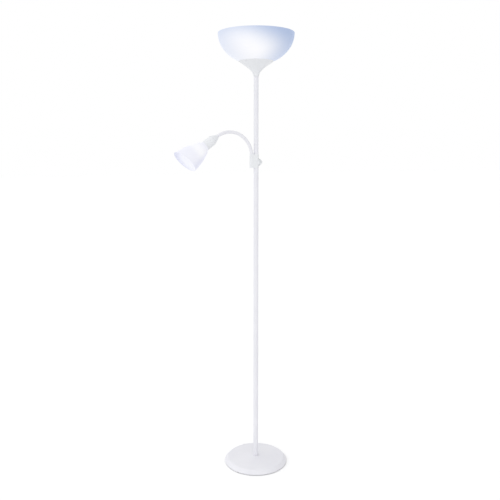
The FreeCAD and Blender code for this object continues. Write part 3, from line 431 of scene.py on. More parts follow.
@dataclass(frozen=True)
class OpalShade:
    """Opal plastic lit by the bulb inside it, its emission a glow with painted shade in it. Faces marked as
    inside may have a glow and painted shade of their own.
    """

    body: Triple
    bulb: Vector
    outside: GlowWithPaintedShade
    inside: GlowWithPaintedShade | None = None
    roughness: Point2 = (0.38, 0.46)
    cloud_scale: float = 14.0
    cloud_shade: float = 0.97
    sheen_scale: float = 60.0
    skin_scale: float = 900.0
    skin_depth: float = 0.02 * MM

    def build(self, name: str) -> Material:
        """Make the material.

        Args:
            name: Its name.

        Returns:
            The material.
        """
        tree = ShaderTree(name)
        cloud = tree.noise(self.cloud_scale, detail=2.0)
        # The emission paints the bulb's glow and, through the fades, shade on the plastic.
        glow = self.outside.colour(tree, cloud, self.bulb)
        if self.inside is not None:
            glow = tree.mixed(tree.mark(INSIDE_MARK), glow, self.inside.colour(tree, cloud, self.bulb))
        tree.surface(
            IOR=1.45,
            Specular_IOR_Level=0.3,
            Emission_Strength=1.0,
            Emission_Color=glow,
            Base_Color=tree.mixed(cloud, self.body, tuple(self.cloud_shade * c for c in self.body)),
            Roughness=tree.span(tree.noise(self.sheen_scale), *self.roughness),
            Normal=tree.bump(tree.noise(self.skin_scale, detail=2.0), self.skin_depth),
        )
        return tree.material


@dataclass(frozen=True)
class BareMetal:
    """Plated, rolled or cast metal."""

    colour: Triple
    stain: Triple
    roughness: Point2
    stretch: Triple = (1.0, 1.0, 1.0)
    metallic: float = 1.0
    grain_scale: float = 400.0
    grain_depth: float = 0.03 * MM
    grain_edge: Point2 = (0.25, 0.75)
    stain_scale: float = 60.0
    stain_edge: Point2 = (0.35, 0.7)

    def build(self, name: str) -> Material:
        """Make the material.

        Args:
            name: Its name.

        Returns:
            The material.
        """
        tree = ShaderTree(name)
        grain = tree.noise(self.grain_scale, detail=4.0, roughness=0.6, vector=tree.stretched(self.stretch))
        stained = tree.span(tree.noise(self.stain_scale), 0.0, 1.0, *self.stain_edge)
        tree.surface(
            Metallic=self.metallic,
            Base_Color=tree.mixed(stained, self.colour, self.stain),
            Roughness=tree.span(grain, *self.roughness, *self.grain_edge),
            Normal=tree.bump(grain, self.grain_depth),
        )
        return tree.material


@dataclass(frozen=True)
class SoftRubber:
    """Foam, rubber or flexible sheath with a dry, pored skin."""

    colour: Triple
    pore: Triple
    roughness: Point2
    cell_scale: float
    cell_depth: float
    cell_edge: Point2 = (0.1, 0.6)
    sheen_scale: float = 80.0

    def build(self, name: str) -> Material:
        """Make the material.

        Args:
            name: Its name.

        Returns:
            The material.
        """
        tree = ShaderTree(name)
        cells = tree.cells(self.cell_scale)
        tree.surface(
            Specular_IOR_Level=0.25,
            Base_Color=tree.mixed(tree.span(cells, 0.0, 1.0, *self.cell_edge), self.pore, self.colour),
            Roughness=tree.span(tree.noise(self.sheen_scale), *self.roughness),
            Normal=tree.bump(cells, self.cell_depth),
        )
        return tree.material


@dataclass(frozen=True)
class LitBulb:
    """Frosted glass that glows, cooler and dimmer towards its neck. The warming is in globe radii."""

    centre: Vector
    axis: Vector
    radius: float
    strength: float
    warm: Triple = (1.0, 0.98, 0.94)
    cool: Triple = (0.9, 0.92, 1.0)
    warming: Point2 = (2.0, 0.4)
    neck_level: float = 0.35
    frost: tuple[Triple, Triple] = ((0.86, 0.87, 0.88), (0.93, 0.93, 0.93))
    frost_scale: float = 500.0
    roughness: Point2 = (0.3, 0.42)

    def build(self, name: str) -> Material:
        """Make the material.

        Args:
            name: Its name.

        Returns:
            The material.
        """
        tree = ShaderTree(name)
        start, end = (self.centre.dot(self.axis) - share * self.radius for share in self.warming)
        warmth = tree.span(tree.dot(tree.coords, self.axis), 0.0, 1.0, start, end, True)
        frost = tree.noise(self.frost_scale, detail=2.0)
        tree.surface(
            Specular_IOR_Level=0.5,
            Emission_Color=tree.mixed(warmth, self.cool, self.warm),
            Emission_Strength=tree.times(tree.span(warmth, self.neck_level, 1.0), self.strength),
            Base_Color=tree.mixed(frost, *self.frost),
            Roughness=tree.span(frost, *self.roughness),
        )
        return tree.material


# Meshes


def add_object(name: str, data: bpy.types.ID) -> Piece:
    """Put a new object in the scene.

    Args:
        name: Its name.
        data: Its mesh, light or camera.

    Returns:
        The object.
    """
    made = bpy.data.objects.new(name, data)
    bpy.context.scene.collection.objects.link(made)
    return made


def shaded(name: str, data: bpy.types.Mesh) -> Piece:
    """Shade a mesh smooth up to its sharp edges, and put it in the scene.

    Args:
        name: The piece's name.
        data: The mesh.

    Returns:
        The new object.
    """
    data.polygons.foreach_set("use_smooth", [True] * len(data.polygons))
    data.set_sharp_from_angle(angle=SHARP_ANGLE)
    return add_object(name, data)


def finish_mesh(name: str, mesh: bmesh.types.BMesh, material: Material) -> Piece:
    """Close, orient and shade a mesh, and put it in the scene.

    Args:
        name: The piece's name.
        mesh: Its faces, with its place in them.
        material: Its finish.

    Returns:
        The new object.
    """
    bmesh.ops.remove_doubles(mesh, verts=mesh.verts, dist=SAME_SPOT)
    bmesh.ops.recalc_face_normals(mesh, faces=mesh.faces)
    data = bpy.data.meshes.new(name)
    mesh.to_mesh(data)
    mesh.free()
    data.materials.append(material)
    return shaded(name, data)


def applied(piece: Piece, modifier: bpy.types.Modifier) -> bpy.types.Mesh:
    """Run a piece's modifier and remove it.

    Args:
        piece: The piece.
        modifier: Its modifier.

    Returns:
        The resulting mesh.
    """
    bpy.context.view_layer.update()
    graph = bpy.context.evaluated_depsgraph_get()
    data = bpy.data.meshes.new_from_object(piece.evaluated_get(graph))
    piece.modifiers.remove(modifier)
    return data


def eased(corners: Sequence[Triple], closed: bool = True, steps: int = 5) -> list[Point2]:
    """Outline with rounded corners.

    Args:
        corners: (r, z, round) for each corner, where round is the corner's radius.
        closed: The last corner joins the first.
        steps: Points on each rounding, less one.

    Returns:
        The outline's points.
    """
    points: list[Point2] = []
    count = len(corners)
    for i, (r, z, radius) in enumerate(corners):
        here = Vector((r, z))
        inner = closed or 0 < i < count - 1
        if radius <= 0 or not inner:
            points.append((r, z))
            continue
        before = Vector(corners[i - 1][:2]) - here
        after = Vector(corners[(i + 1) % count][:2]) - here
        half = before.angle(after) / 2
        most = ROUNDING_LIMIT * min(before.length, after.length)
        reach = min(radius / math.tan(half), most)
        start = here + before.normalized() * reach
        end = here + after.normalized() * reach
        middle = here + (before.normalized() + after.normalized()).normalized() * reach / math.cos(half)
        spin = (start - middle).angle_signed(end - middle)
        for step in range(steps + 1):
            arm = (start - middle).copy()
            arm.rotate(Matrix.Rotation(-spin * step / steps, 2))
            points.append(tuple(middle + arm))
    return points


def turned(
    name: str, section: Callable[[float], Sequence[Point2]], material: Material, steps: int,
    place: Matrix | None = None,
) -> Piece:
    """Closed solid turned about its own Z axis, whose section may change round the axis.

    Args:
        name: The piece's name.
        section: Gives the points (r, z) round the section at an angle, always the same number of them.
            A section that starts and ends on the axis is left open there.
        material: Its finish.
        steps: Faces round the axis.
        place: Matrix from the turning axis to the lamp's frame.

    Returns:
        The new object.
    """
    mesh = bmesh.new()
    place = place or Matrix.Identity(4)
    columns = []
    centres: dict[int, bmesh.types.BMVert] = {}
    for i in range(steps):
        angle = 2 * math.pi * i / steps
        column = []
        for k, (r, z) in enumerate(section(angle)):
            if r < ON_AXIS:
                if k not in centres:
                    centres[k] = mesh.verts.new(place @ Vector((0, 0, z)))
                column.append(centres[k])
                continue
            column.append(mesh.verts.new(place @ Vector((r * math.cos(angle), r * math.sin(angle), z))))
        columns.append(column)
    count = len(columns[0])
    open_there = 0 in centres and count - 1 in centres
    for i in range(steps):
        here, there = columns[i], columns[(i + 1) % steps]
        for k in range(count - 1 if open_there else count):
            m = (k + 1) % count
            corners = list(dict.fromkeys((here[k], there[k], there[m], here[m])))
            if len(corners) > 2:
                mesh.faces.new(corners)
    return finish_mesh(name, mesh, material)


def lathe(
    name: str, outline: Sequence[Point2], material: Material, steps: int, place: Matrix | None = None
) -> Piece:
    """Closed solid turned about its own Z axis, with the same section all round."""
    return turned(name, lambda angle: outline, material, steps, place)


def axis_place(origin: Vector, direction: Vector) -> Matrix:
    """Matrix that takes +Z at the origin to a direction at a point."""
    return Matrix.Translation(origin) @ direction.to_track_quat("Z", "Y").to_matrix().to_4x4()


def hermite(start: Vector, end: Vector, leave: Vector, arrive: Vector, share: float) -> Point2:
    """Point of a curve with given slopes at its ends.

    Args:
        start: Where it begins.
        end: Where it ends.
        leave: Slope at the start, as long as the curve.
        arrive: The same at the end.
        share: How far along the curve the point lies, 0 to 1.

    Returns:
        The point (r, z).
    """
    square, cube = share ** 2, share ** 3
    h = 2 * cube - 3 * square + 1
    return tuple(start * h + leave * (cube - 2 * square + share) + end * (1 - h) + arrive * (cube - square))


def smooth_line(knots: Sequence[Vector], steps: int) -> list[Point2]:
    """Line through knots with matched slopes.

    Args:
        knots: Points that the line passes through.
        steps: Points on each stretch between two knots.

    Returns:
        The line's points, both ends included.
    """
    slopes = []
    for i, knot in enumerate(knots):
        before = knots[i - 1] if i else knot
        after = knots[i + 1] if i + 1 < len(knots) else knot
        slopes.append((after - before) / ((after - knot).length + (knot - before).length))
    slopes[0] = 2 * (knots[1] - knots[0]) / (knots[1] - knots[0]).length - slopes[1]
    slopes[-1] = 2 * (knots[-1] - knots[-2]) / (knots[-1] - knots[-2]).length - slopes[-2]
    points = []
    for a, b, leave, arrive in zip(knots, knots[1:], slopes, slopes[1:]):
        length = (b - a).length
        points += [hermite(a, b, leave * length, arrive * length, step / steps) for step in range(steps)]
    return points + [tuple(knots[-1])]


def even_steps(points: Sequence[Vector], steps: int) -> list[Point2]:
    """Space a line's points evenly along it.

    Args:
        points: The line.
        steps: Number of equal stretches.

    Returns:
        The new points, both ends included.
    """
    reach = [0.0]
    for a, b in zip(points, points[1:]):
        reach.append(reach[-1] + (b - a).length)
    result = []
    k = 0
    for i in range(steps + 1):
        goal = reach[-1] * i / steps
        while k < len(points) - 2 and reach[k + 1] < goal:
            k += 1
        share = (goal - reach[k]) / (reach[k + 1] - reach[k])
        result.append(tuple(points[k].lerp(points[k + 1], share)))
    return result


def offset_line(points: Sequence[Point2], wall: float) -> list[Point2]:
    """Move a line inwards by a wall's thickness.

    Args:
        points: The wall's outside.
        wall: Its thickness.

    Returns:
        The wall's inside.
    """
    moved = []
    for i, (r, z) in enumerate(points):
        before = Vector(points[max(0, i - 1)])
        after = Vector(points[min(len(points) - 1, i + 1)])
        along = (after - before).normalized()
        moved.append((r - along.y * wall, z + along.x * wall))
    return moved


def lip_points(outer: Point2, inner: Point2, steps: int = 6) -> list[Point2]:
    """Half-round lip of a wall.

    Args:
        outer: End of the wall's outside.
        inner: End of its inside.
        steps: Stretches of the half circle.

    Returns:
        The lip's points from the outside to the inside, without those two ends.
    """
    a, b = Vector(outer), Vector(inner)
    middle = (a + b) / 2
    points = []
    for step in range(1, steps):
        arm = (a - middle).copy()
        arm.rotate(Matrix.Rotation(-math.pi * step / steps, 2))
        points.append(tuple(middle + arm))
    return points


def mark_inside(piece: Piece, place: Matrix) -> None:
    """Mark the faces of a turned shell that look towards its axis.

    Args:
        piece: The shell.
        place: Matrix from the turning axis to the lamp's frame.
    """
    back = place.inverted()
    marks = piece.data.attributes.new(INSIDE_MARK, "FLOAT", "FACE")
    for face, mark in zip(piece.data.polygons, marks.data):
        spot = back @ face.center
        normal = back.to_3x3() @ face.normal
        mark.value = 1.0 if spot.xy.dot(normal.xy) < 0 else 0.0


# Geometry Nodes


class NodeGraph(Wiring):
    """One Geometry Nodes tree with named inputs."""

    def __init__(self, name: str) -> None:
        """Start a tree with a geometry output.

        Args:
            name: The tree's name.
        """
        super().__init__(bpy.data.node_groups.new(name, "GeometryNodeTree"))
        self.tree.interface.new_socket("Geometry", in_out="OUTPUT", socket_type="NodeSocketGeometry")
        self.source = self.add("NodeGroupInput")
        self.identifiers: dict[str, str] = {}

    def value(self, name: str, kind: str, default: float | None = None) -> Socket:
        """Named input of the tree.

        Args:
            name: What the input is for.
            kind: Its socket type, less the word NodeSocket.
            default: Its value where the modifier sets none.

        Returns:
            The input's socket inside the tree.
        """
        item = self.tree.interface.new_socket(name, in_out="INPUT", socket_type="NodeSocket" + kind)
        if default is not None:
            item.default_value = default
        self.identifiers[name] = item.identifier
        return self.source.outputs[name]

    def close(self, geometry: Feed, material: Socket) -> NodeGraph:
        """Realize the instances, set the material and lead the result out.

        Args:
            geometry: What the tree has made.
            material: Its finish.

        Returns:
            This tree.
        """
        real = self.add("GeometryNodeRealizeInstances", {"Geometry": geometry})
        coated = self.add("GeometryNodeSetMaterial", {"Geometry": real, "Material": material})
        self.add("NodeGroupOutput", {"Geometry": coated})
        return self

    def make(self, name: str, values: Mapping[str, object]) -> Piece:
        """Run the tree once and keep its result as a plain mesh.

        Args:
            name: The piece's name.
            values: Value of each named input.

        Returns:
            The new object, with no modifier on it.
        """
        carrier = add_object(name + "_carrier", bpy.data.meshes.new(name + "_seed"))
        modifier = carrier.modifiers.new("build", "NODES")
        modifier.node_group = self.tree
        for key, setting in values.items():
            modifier[self.identifiers[key]] = setting
        data = applied(carrier, modifier)
        bpy.data.objects.remove(carrier)
        data.name = name
        return shaded(name, data)


def sleeve_graph() -> NodeGraph:
    """Tree that sweeps a round sleeve along an arc in the XZ plane.

    Returns:
        The tree.
    """
    graph = NodeGraph("sleeve along an arc")
    centre = graph.value("Centre", "Vector")
    bend = graph.value("Bend radius", "Float", 0.1)
    start = graph.value("Start angle", "Float", 0.0)
    sweep = graph.value("Sweep angle", "Float", 1.0)
    tube = graph.value("Sleeve radius", "Float", 0.006)
    steps = graph.value("Steps", "Int", 16)
    sides = graph.value("Sides", "Int", 40)
    finish = graph.value("Finish", "Material")
    arc_feeds = {"Resolution": steps, "Radius": bend, "Start Angle": start, "Sweep Angle": sweep}
    arc = graph.add("GeometryNodeCurveArc", arc_feeds, mode="RADIUS")
    upright_feeds = {"Geometry": arc, "Rotation": (math.pi / 2, 0.0, 0.0), "Translation": centre}
    upright = graph.add("GeometryNodeTransform", upright_feeds)
    ring = graph.add("GeometryNodeCurvePrimitiveCircle", {"Resolution": sides, "Radius": tube}, mode="RADIUS")
    swept_feeds = {"Curve": upright, "Profile Curve": ring, "Fill Caps": True}
    return graph.close(graph.add("GeometryNodeCurveToMesh", swept_feeds), finish)


def circle_graph() -> NodeGraph:
    """Tree that sets copies of a small mesh evenly round the Z axis, each turned to face out.

    Returns:
        The tree.
    """
    graph = NodeGraph("copies round a circle")
    shape = graph.value("Shape", "Object")
    count = graph.value("Count", "Int", 12)
    radius = graph.value("Radius", "Float", 0.02)
    height = graph.value("Height", "Float", 0.0)
    finish = graph.value("Finish", "Material")
    share = graph.maths("DIVIDE", graph.add("GeometryNodeInputIndex"), count)
    angle = graph.maths("MULTIPLY", share, 2 * math.pi)
    out = graph.add("ShaderNodeCombineXYZ", {"X": radius, "Z": height})
    spot = graph.add("ShaderNodeVectorRotate", {"Vector": out, "Angle": angle}, rotation_type="Z_AXIS")
    points = graph.add("GeometryNodePoints", {"Count": count, "Position": spot})
    turn = graph.add("ShaderNodeCombineXYZ", {"Z": angle})
    pattern = graph.add("GeometryNodeObjectInfo", {"Object": shape}).outputs["Geometry"]
    copy_feeds = {"Points": points, "Instance": pattern, "Rotation": turn}
    return graph.close(graph.add("GeometryNodeInstanceOnPoints", copy_feeds), finish)


def copies_round(
    name: str, pattern: Piece, count: int, radius: float, height: float, material: Material
) -> Piece:
    """Set copies of a pattern round the Z axis, and remove the pattern.

    Args:
        name: The piece's name.
        pattern: What is copied.
        count: Number of copies.
        radius: Their circle.
        height: Its height.
        material: Their finish.

    Returns:
        The copies as one object.
    """
    values = {"Shape": pattern, "Count": count, "Radius": radius, "Height": height, "Finish": material}
    made = circle_graph().make(name, values)
    bpy.data.objects.remove(pattern)
    return made


# The frame


@dataclass
class Frame:
    """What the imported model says: nodes, joints and the places read from them."""

    nodes: dict[str, Piece]
    joints: list[dict]

    def low(self, node: str) -> Vector:
        """Lowest corner of a node's box."""
        return Vector(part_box(node)[0])

    def high(self, node: str) -> Vector:
        """Highest corner of a node's box."""
        return Vector(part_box(node)[1])

    def radius(self, node: str) -> float:
        """Half the width of a round upright node, measured across X."""
        return (self.high(node).x - self.low(node).x) / 2

    def neck_joints(self) -> list[dict]:
        """The neck's joints, from the housing to the reading head."""
        found = [joint for joint in self.joints if joint["name"].startswith("neck_")]
        return sorted(found, key=lambda joint: -joint["pos_m"][0])

    def dress(self, made: Mapping[Finish, Material]) -> None:
        """Give the nodes that stay their finishes.

        Args:
            made: The materials.
        """
        for finish, names in KEPT_NODES.items():
            for name in names:
                slots = self.nodes[name].data.materials
                slots.clear()
                slots.append(made[finish])
                LOG.info("%s dressed in %s", name, finish.value)


class NeckPath:
    """The neck's centre line: one circular arc through its joints."""

    def __init__(self, frame: Frame) -> None:
        """Find the arc that the joints lie on.

        Args:
            frame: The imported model.
        """
        joints = frame.neck_joints()
        self.bodies = [joints[0]["parent"]] + [joint["child"] for joint in joints]
        spots = [Vector((joint["pos_m"][0], joint["pos_m"][2])) for joint in joints]
        self.centre = self.circle_centre(spots[0], spots[len(spots) // 2], spots[-1])
        self.radius = (spots[0] - self.centre).length
        self.turns = [math.atan2(spot.y - self.centre.y, spot.x - self.centre.x) for spot in spots]

    @staticmethod
    def circle_centre(a: Vector, b: Vector, c: Vector) -> Vector:
        """Centre of the circle through three points of a plane.

        Args:
            a: First point.
            b: Second point.
            c: Third point.

        Returns:
            The centre.
        """
        turns = ((a, b, c), (b, c, a), (c, a, b))
        d = 2 * sum(p.x * (q.y - r.y) for p, q, r in turns)
        x = sum(p.length_squared * (q.y - r.y) for p, q, r in turns) / d
        y = sum(p.length_squared * (r.x - q.x) for p, q, r in turns) / d
        return Vector((x, y))

    def point(self, angle: float) -> Vector:
        """Point of the centre line at an angle above +X, in the lamp's frame."""
        across, rise = self.radius * math.cos(angle), self.radius * math.sin(angle)
        return Vector((self.centre.x + across, 0.0, self.centre.y + rise))

    def heading(self, angle: float) -> Vector:
        """Direction of the centre line, away from the housing."""
        return Vector((-math.sin(angle), 0.0, math.cos(angle)))


# Sub-assemblies


@dataclass
class SubAssembly:
    """Pieces that are built round the frame and ride on one body."""

    frame: Frame
    path: NeckPath
    made: Mapping[Finish, Material]
    body: Body = Body.STAND

    def register(self, piece: Piece, slot: Slot, node: str) -> None:
        """Tie a new piece to its body and hide the node that it stands for.

        Args:
            piece: The piece.
            slot: Not used.
            node: The node.
        """
        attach(piece, self.body.value)
        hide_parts(node)
        LOG.info("%s rides on %s, %d faces", piece.name, self.body.value, len(piece.data.polygons))


@dataclass(frozen=True)
class CrossScrew:
    """Pan head with a cross recess, its seat at z = 0. Its shares are of its radius or its rise."""

    radius: float = 3.75 * MM
    rise: float = 1.3 * MM
    edge: float = 0.2
    dome: float = 0.55
    dome_angles: tuple[float, ...] = (20.0, 40.0, 60.0, 80.0)
    slot_length: float = 1.1
    slot_width: float = 0.22
    slot_middle: float = 0.95

    def build(self, name: str, material: Material) -> Piece:
        """Make the head.

        Args:
            name: Its name.
            material: Its finish.

        Returns:
            The new object.
        """
        crown = [(self.radius * math.sin(a), self.rise * (1.0 - self.dome + self.dome * math.cos(a)))
                 for a in map(math.radians, self.dome_angles)]
        side = [(self.radius, self.edge * self.rise), (self.radius, 0.0)]
        head = lathe(name, [(0.0, self.rise), *crown, *side, (0.0, 0.0)], material, Round.SCREW)
        cutter = add_object(name + "_cut", bpy.data.meshes.new(name + "_cut"))
        length, width = self.slot_length * self.radius, self.slot_width * self.radius
        size = Matrix.Diagonal((length, width, self.slot_length * self.rise, 1.0))
        move = Matrix.Translation((0, 0, self.slot_middle * self.rise))
        mesh = bmesh.new()
        for turn in (0.0, math.pi / 2):
            bmesh.ops.create_cube(mesh, size=1.0, matrix=Matrix.Rotation(turn, 4, "Z") @ move @ size)
        mesh.to_mesh(cutter.data)
        mesh.free()
        self.carve(head, cutter)
        return head

    @staticmethod
    def carve(target: Piece, cutter: Piece) -> None:
        """Cut one mesh out of another and remove the cutter.

        Args:
            target: What is cut.
            cutter: The shape that goes.
        """
        modifier = target.modifiers.new("carve", "BOOLEAN")
        modifier.operation = "DIFFERENCE"
        modifier.solver = "EXACT"
        modifier.use_self = True
        modifier.object = cutter
        target.data = applied(target, modifier)
        target.data.set_sharp_from_angle(angle=SHARP_ANGLE)
        bpy.data.objects.remove(cutter)


@dataclass
class WeightedBase(SubAssembly):
    """Pressed cover of the round base, the screws under it and the collar of its cord inlet."""

    rim_height: float = 3.0 * MM
    rim_round: float = 1.0 * MM
    shoulder_radius: float = 117.0 * MM
    shoulder_drop: float = 4.5 * MM
    shoulder_round: float = 9.0 * MM
    shoulder_draw: float = 0.6
    crest_shares: tuple[float, ...] = (0.8, 0.6, 0.4, 0.2, 0.0)
    metal: float = 1.0 * MM
    screw_count: int = 3
    screw_circle: float = 75.0 * MM
    grommet_bore: float = 3.5 * MM
    grommet_body: float = 5.0 * MM
    grommet_flange: float = 7.0 * MM
    grommet_lip: float = 1.8 * MM
    grommet_tail: float = 4.0 * MM

    def build(self) -> None:
        """Make the base's pieces."""
        self.cover()
        self.screws()
        self.inlet()

    def section(self, inset: float) -> list[Point2]:
        """Half section of one side of the cover's skin, from the rim's foot to the pole.

        Args:
            inset: Depth of that side under the outside.

        Returns:
            Its points (r, z).
        """
        foot = self.frame.low("base_cover").z
        edge = self.frame.radius("base_cover") - inset
        crown = self.frame.high("base_cover").z - inset
        inner = self.shoulder_radius - self.shoulder_draw * inset
        dome = (inner ** 2 + self.shoulder_drop ** 2) / (2 * self.shoulder_drop)
        crest = [(r, crown - dome + math.sqrt(dome ** 2 - r ** 2), 0.0)
                 for r in (share * inner for share in self.crest_shares)]
        corners = [
            (edge, foot, 0.0),
            (edge, foot + self.rim_height, self.rim_round),
            (inner, crown - self.shoulder_drop, self.shoulder_round),
        ]
        return eased(corners + crest, closed=False, steps=10)

    def cover(self) -> None:
        """Pressed steel cover with a rolled rim edge."""
        outline = self.section(0.0) + self.section(self.metal)[::-1]
        piece = lathe("base_cover_skin", outline, self.made[Finish.PAINT], Round.DISC)
        self.register(piece, Slot.PAINT, "base_cover")

    def screws(self) -> None:
        """Cross-recess screws that hold the bottom plate."""
        steel = self.made[Finish.STEEL]
        head = CrossScrew().build("screw_pattern", steel)
        pieces = copies_round("base_screws", head, self.screw_count, self.screw_circle, 0.0, steel)
        under = Matrix.Translation((0, 0, self.frame.low("base_bottom_plate").z))
        pieces.data.transform(under @ Matrix.Rotation(math.pi, 4, "X"))
        self.register(pieces, Slot.STEEL, "base_plate_screws")

    def inlet(self) -> None:
        """Soft collar in the cord's hole at the back, square to the cover's slope."""
        edge = self.frame.radius("base_cover")
        rim = self.frame.low("base_cover").z + self.rim_height
        shoulder = self.frame.high("base_cover").z - self.shoulder_drop
        slope = Vector((0, self.shoulder_radius - edge, shoulder - rim)).normalized()
        outward = Vector((0, slope.z, -slope.y))
        spot = Vector((0, (edge + self.shoulder_radius) / 2, (rim + shoulder) / 2))
        outline = eased([
            (self.grommet_bore, -self.grommet_tail, 0.5 * MM),
            (self.grommet_body, -self.grommet_tail, 0.5 * MM),
            (self.grommet_body, 0.0, 0.2 * MM),
            (self.grommet_flange, 0.0, 0.3 * MM),
            (self.grommet_flange, 0.5 * self.grommet_lip, 0.5 * MM),
            (self.grommet_body, self.grommet_lip, 0.6 * MM),
            (self.grommet_bore, self.grommet_lip, 0.5 * MM),
        ])
        place = axis_place(spot, outward)
        piece = lathe("cord_inlet_collar", outline, self.made[Finish.GROMMET], Round.SMALL, place)
        self.register(piece, Slot.GROMMET, "cord_grommet")


@dataclass
class Pole(SubAssembly):
    """Painted steel tubes, with the fine lines where they meet."""

    tubes: tuple[str, ...] = ("pole_tube_1", "pole_tube_2", "pole_tube_3", "top_tube")
    wall: float = 1.0 * MM
    edge_round: float = 0.35 * MM

    def build(self) -> None:
        """Make the tubes."""
        for node in self.tubes:
            low, high = self.frame.low(node).z, self.frame.high(node).z
            outer = self.frame.radius(node)
            outline = eased([
                (outer - self.wall, low, 0.0),
                (outer, low, self.edge_round),
                (outer, high, self.edge_round),
                (outer - self.wall, high, 0.0),
            ])
            piece = lathe(node + "_painted", outline, self.made[Finish.PAINT], Round.TUBE)
            self.register(piece, Slot.PAINT, node)


@dataclass
class SwitchKnob(SubAssembly):
    """Fluted cone with a rounded tip and a hollow back. Its shares are of its skirt or its length."""

    body: Body = Body.KNOB
    skirt_height: float = 2.4 * MM
    tip_radius: float = 4.5 * MM
    tip_round: float = 1.6 * MM
    hollow_radius: float = 0.45
    hollow_depth: float = 0.3
    flutes: int = 14
    flute_depth: float = 0.8 * MM
    flute_start: float = 1.2
    flute_fade: float = 0.5
    flute_sharpness: int = 3
    clear_radius: float = 0.5
    clear_depth: float = 0.4

    def build(self) -> None:
        """Make the knob, on its axis towards +X."""
        low, high = self.frame.low("switch_knob"), self.frame.high("switch_knob")
        length = high.x - low.x
        skirt = (high.y - low.y) / 2
        hollow, depth = self.hollow_radius * skirt, self.hollow_depth * length
        outline = eased([
            (0.0, depth, 0.0),
            (hollow, depth, 0.5 * MM),
            (hollow, 0.0, 0.3 * MM),
            (skirt, 0.0, 0.3 * MM),
            (skirt, self.skirt_height, 0.7 * MM),
            (self.tip_radius, length, self.tip_round),
            (0.0, length, 0.0),
        ], closed=False, steps=8)
        start, reach = self.flute_start * self.tip_radius, self.flute_fade * skirt
        clear_radius, clear_depth = self.clear_radius * skirt, self.clear_depth * length
        fades = [
            0.0 if r < clear_radius and z < clear_depth else min(1.0, max(0.0, (r - start) / reach))
            for r, z in outline
        ]

        def fluted(angle: float) -> list[Point2]:
            """Section with shallow grooves that fade towards the tip and stay off the hollow back."""
            groove = max(0.0, math.cos(self.flutes * angle)) ** self.flute_sharpness
            return [(r - self.flute_depth * fade * groove, z) for (r, z), fade in zip(outline, fades)]

        place = axis_place(Vector((low.x, 0.0, (low.z + high.z) / 2)), Vector((1, 0, 0)))
        piece = turned("knob_cone", fluted, self.made[Finish.PLASTIC], Round.KNOB, place)
        self.register(piece, Slot.PLASTIC, "switch_knob")


@dataclass
class FlexibleNeck(SubAssembly):
    """Smooth sleeve over the neck's chain, cut at each link's middle."""

    sleeve_radius: float = 6.5 * MM
    collar_radius: float = 7.3 * MM
    collar_height: float = 4.0 * MM
    collar_bore: float = 0.6
    end_turn: float = NECK_END_TURN
    steps: int = 14

    def build(self) -> None:
        """Make the sleeve's lengths and the collar."""
        graph = sleeve_graph()
        turns = self.path.turns
        cuts = [self.start_turn()] + [(a + b) / 2 for a, b in zip(turns, turns[1:])] + [self.end_turn]
        for i, (start, end) in enumerate(zip(cuts, cuts[1:])):
            piece = graph.make("neck_sleeve_%d" % (i + 1), {
                "Centre": (self.path.centre.x, 0.0, self.path.centre.y),
                "Bend radius": self.path.radius,
                "Start angle": start,
                "Sweep angle": end - start,
                "Sleeve radius": self.sleeve_radius,
                "Steps": self.steps,
                "Finish": self.made[Finish.PAINT],
            })
            self.path.point(start)
            self.path.point(end)
            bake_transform(piece)
            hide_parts("neck_link_%d" % (i + 1) if i + 1 < len(turns) else "neck_tip")
        self.collar()

    def start_turn(self) -> float:
        """Angle of the centre line at the housing's top."""
        rise = self.frame.high("housing_front").z - self.path.centre.y
        return math.asin(rise / self.path.radius)

    def collar(self) -> None:
        """Turned ring where the neck leaves the housing."""
        spot = Vector((self.path.point(0.0).x, 0.0, self.frame.high("housing_front").z))
        bore = self.collar_bore * self.sleeve_radius
        outline = eased([
            (bore, 0.0, 0.0),
            (self.collar_radius, 0.0, 0.3 * MM),
            (self.collar_radius, self.collar_height, 1.0 * MM),
            (bore, self.collar_height, 0.0),
        ])
        place = Matrix.Translation(spot)
        piece = lathe("neck_collar", outline, self.made[Finish.PAINT], Round.SMALL, place)
        self.register(piece, Slot.PAINT, "neck_ferrule")


@dataclass(frozen=True)
class GripRing:
    """Clamping ring with a row of grips round its edge. Its shares are of its height."""

    inner: float
    outer: float
    low: float
    high: float
    grips: int = 24
    grip_radius: float = 0.55 * MM
    grip_sink: float = 0.25 * MM
    grip_start: float = 0.1
    grip_length: float = 0.8

    def build(self, name: str, material: Material, place: Matrix | None = None) -> Piece:
        """Make the ring.

        Args:
            name: The piece's name.
            material: Its finish.
            place: Matrix from the ring's axis to the lamp's frame.

        Returns:
            The new object.
        """
        ring = lathe(name + "_body", eased([
            (self.inner, self.low, 0.3 * MM),
            (self.outer, self.low, 0.4 * MM),
            (self.outer, self.high, 0.8 * MM),
            (self.inner, self.high, 0.3 * MM),
        ]), material, Round.TUBE)
        height = self.high - self.low
        top = self.grip_length * height
        rib = lathe(name + "_rib", [(0.0, 0.0)] + eased([
            (0.0, 0.0, 0.0),
            (self.grip_radius, 0.0, 0.2 * MM),
            (self.grip_radius, top, 0.3 * MM),
            (0.0, top, 0.0),
        ], closed=False), material, Round.RIB)
        start = self.low + self.grip_start * height
        ribs = copies_round(name + "_ribs", rib, self.grips, self.outer - self.grip_sink, start, material)
        mesh = bmesh.new()
        for part in (ring, ribs):
            mesh.from_mesh(part.data)
            bpy.data.objects.remove(part)
        mesh.transform(place or Matrix.Identity(4))
        return finish_mesh(name, mesh, material)


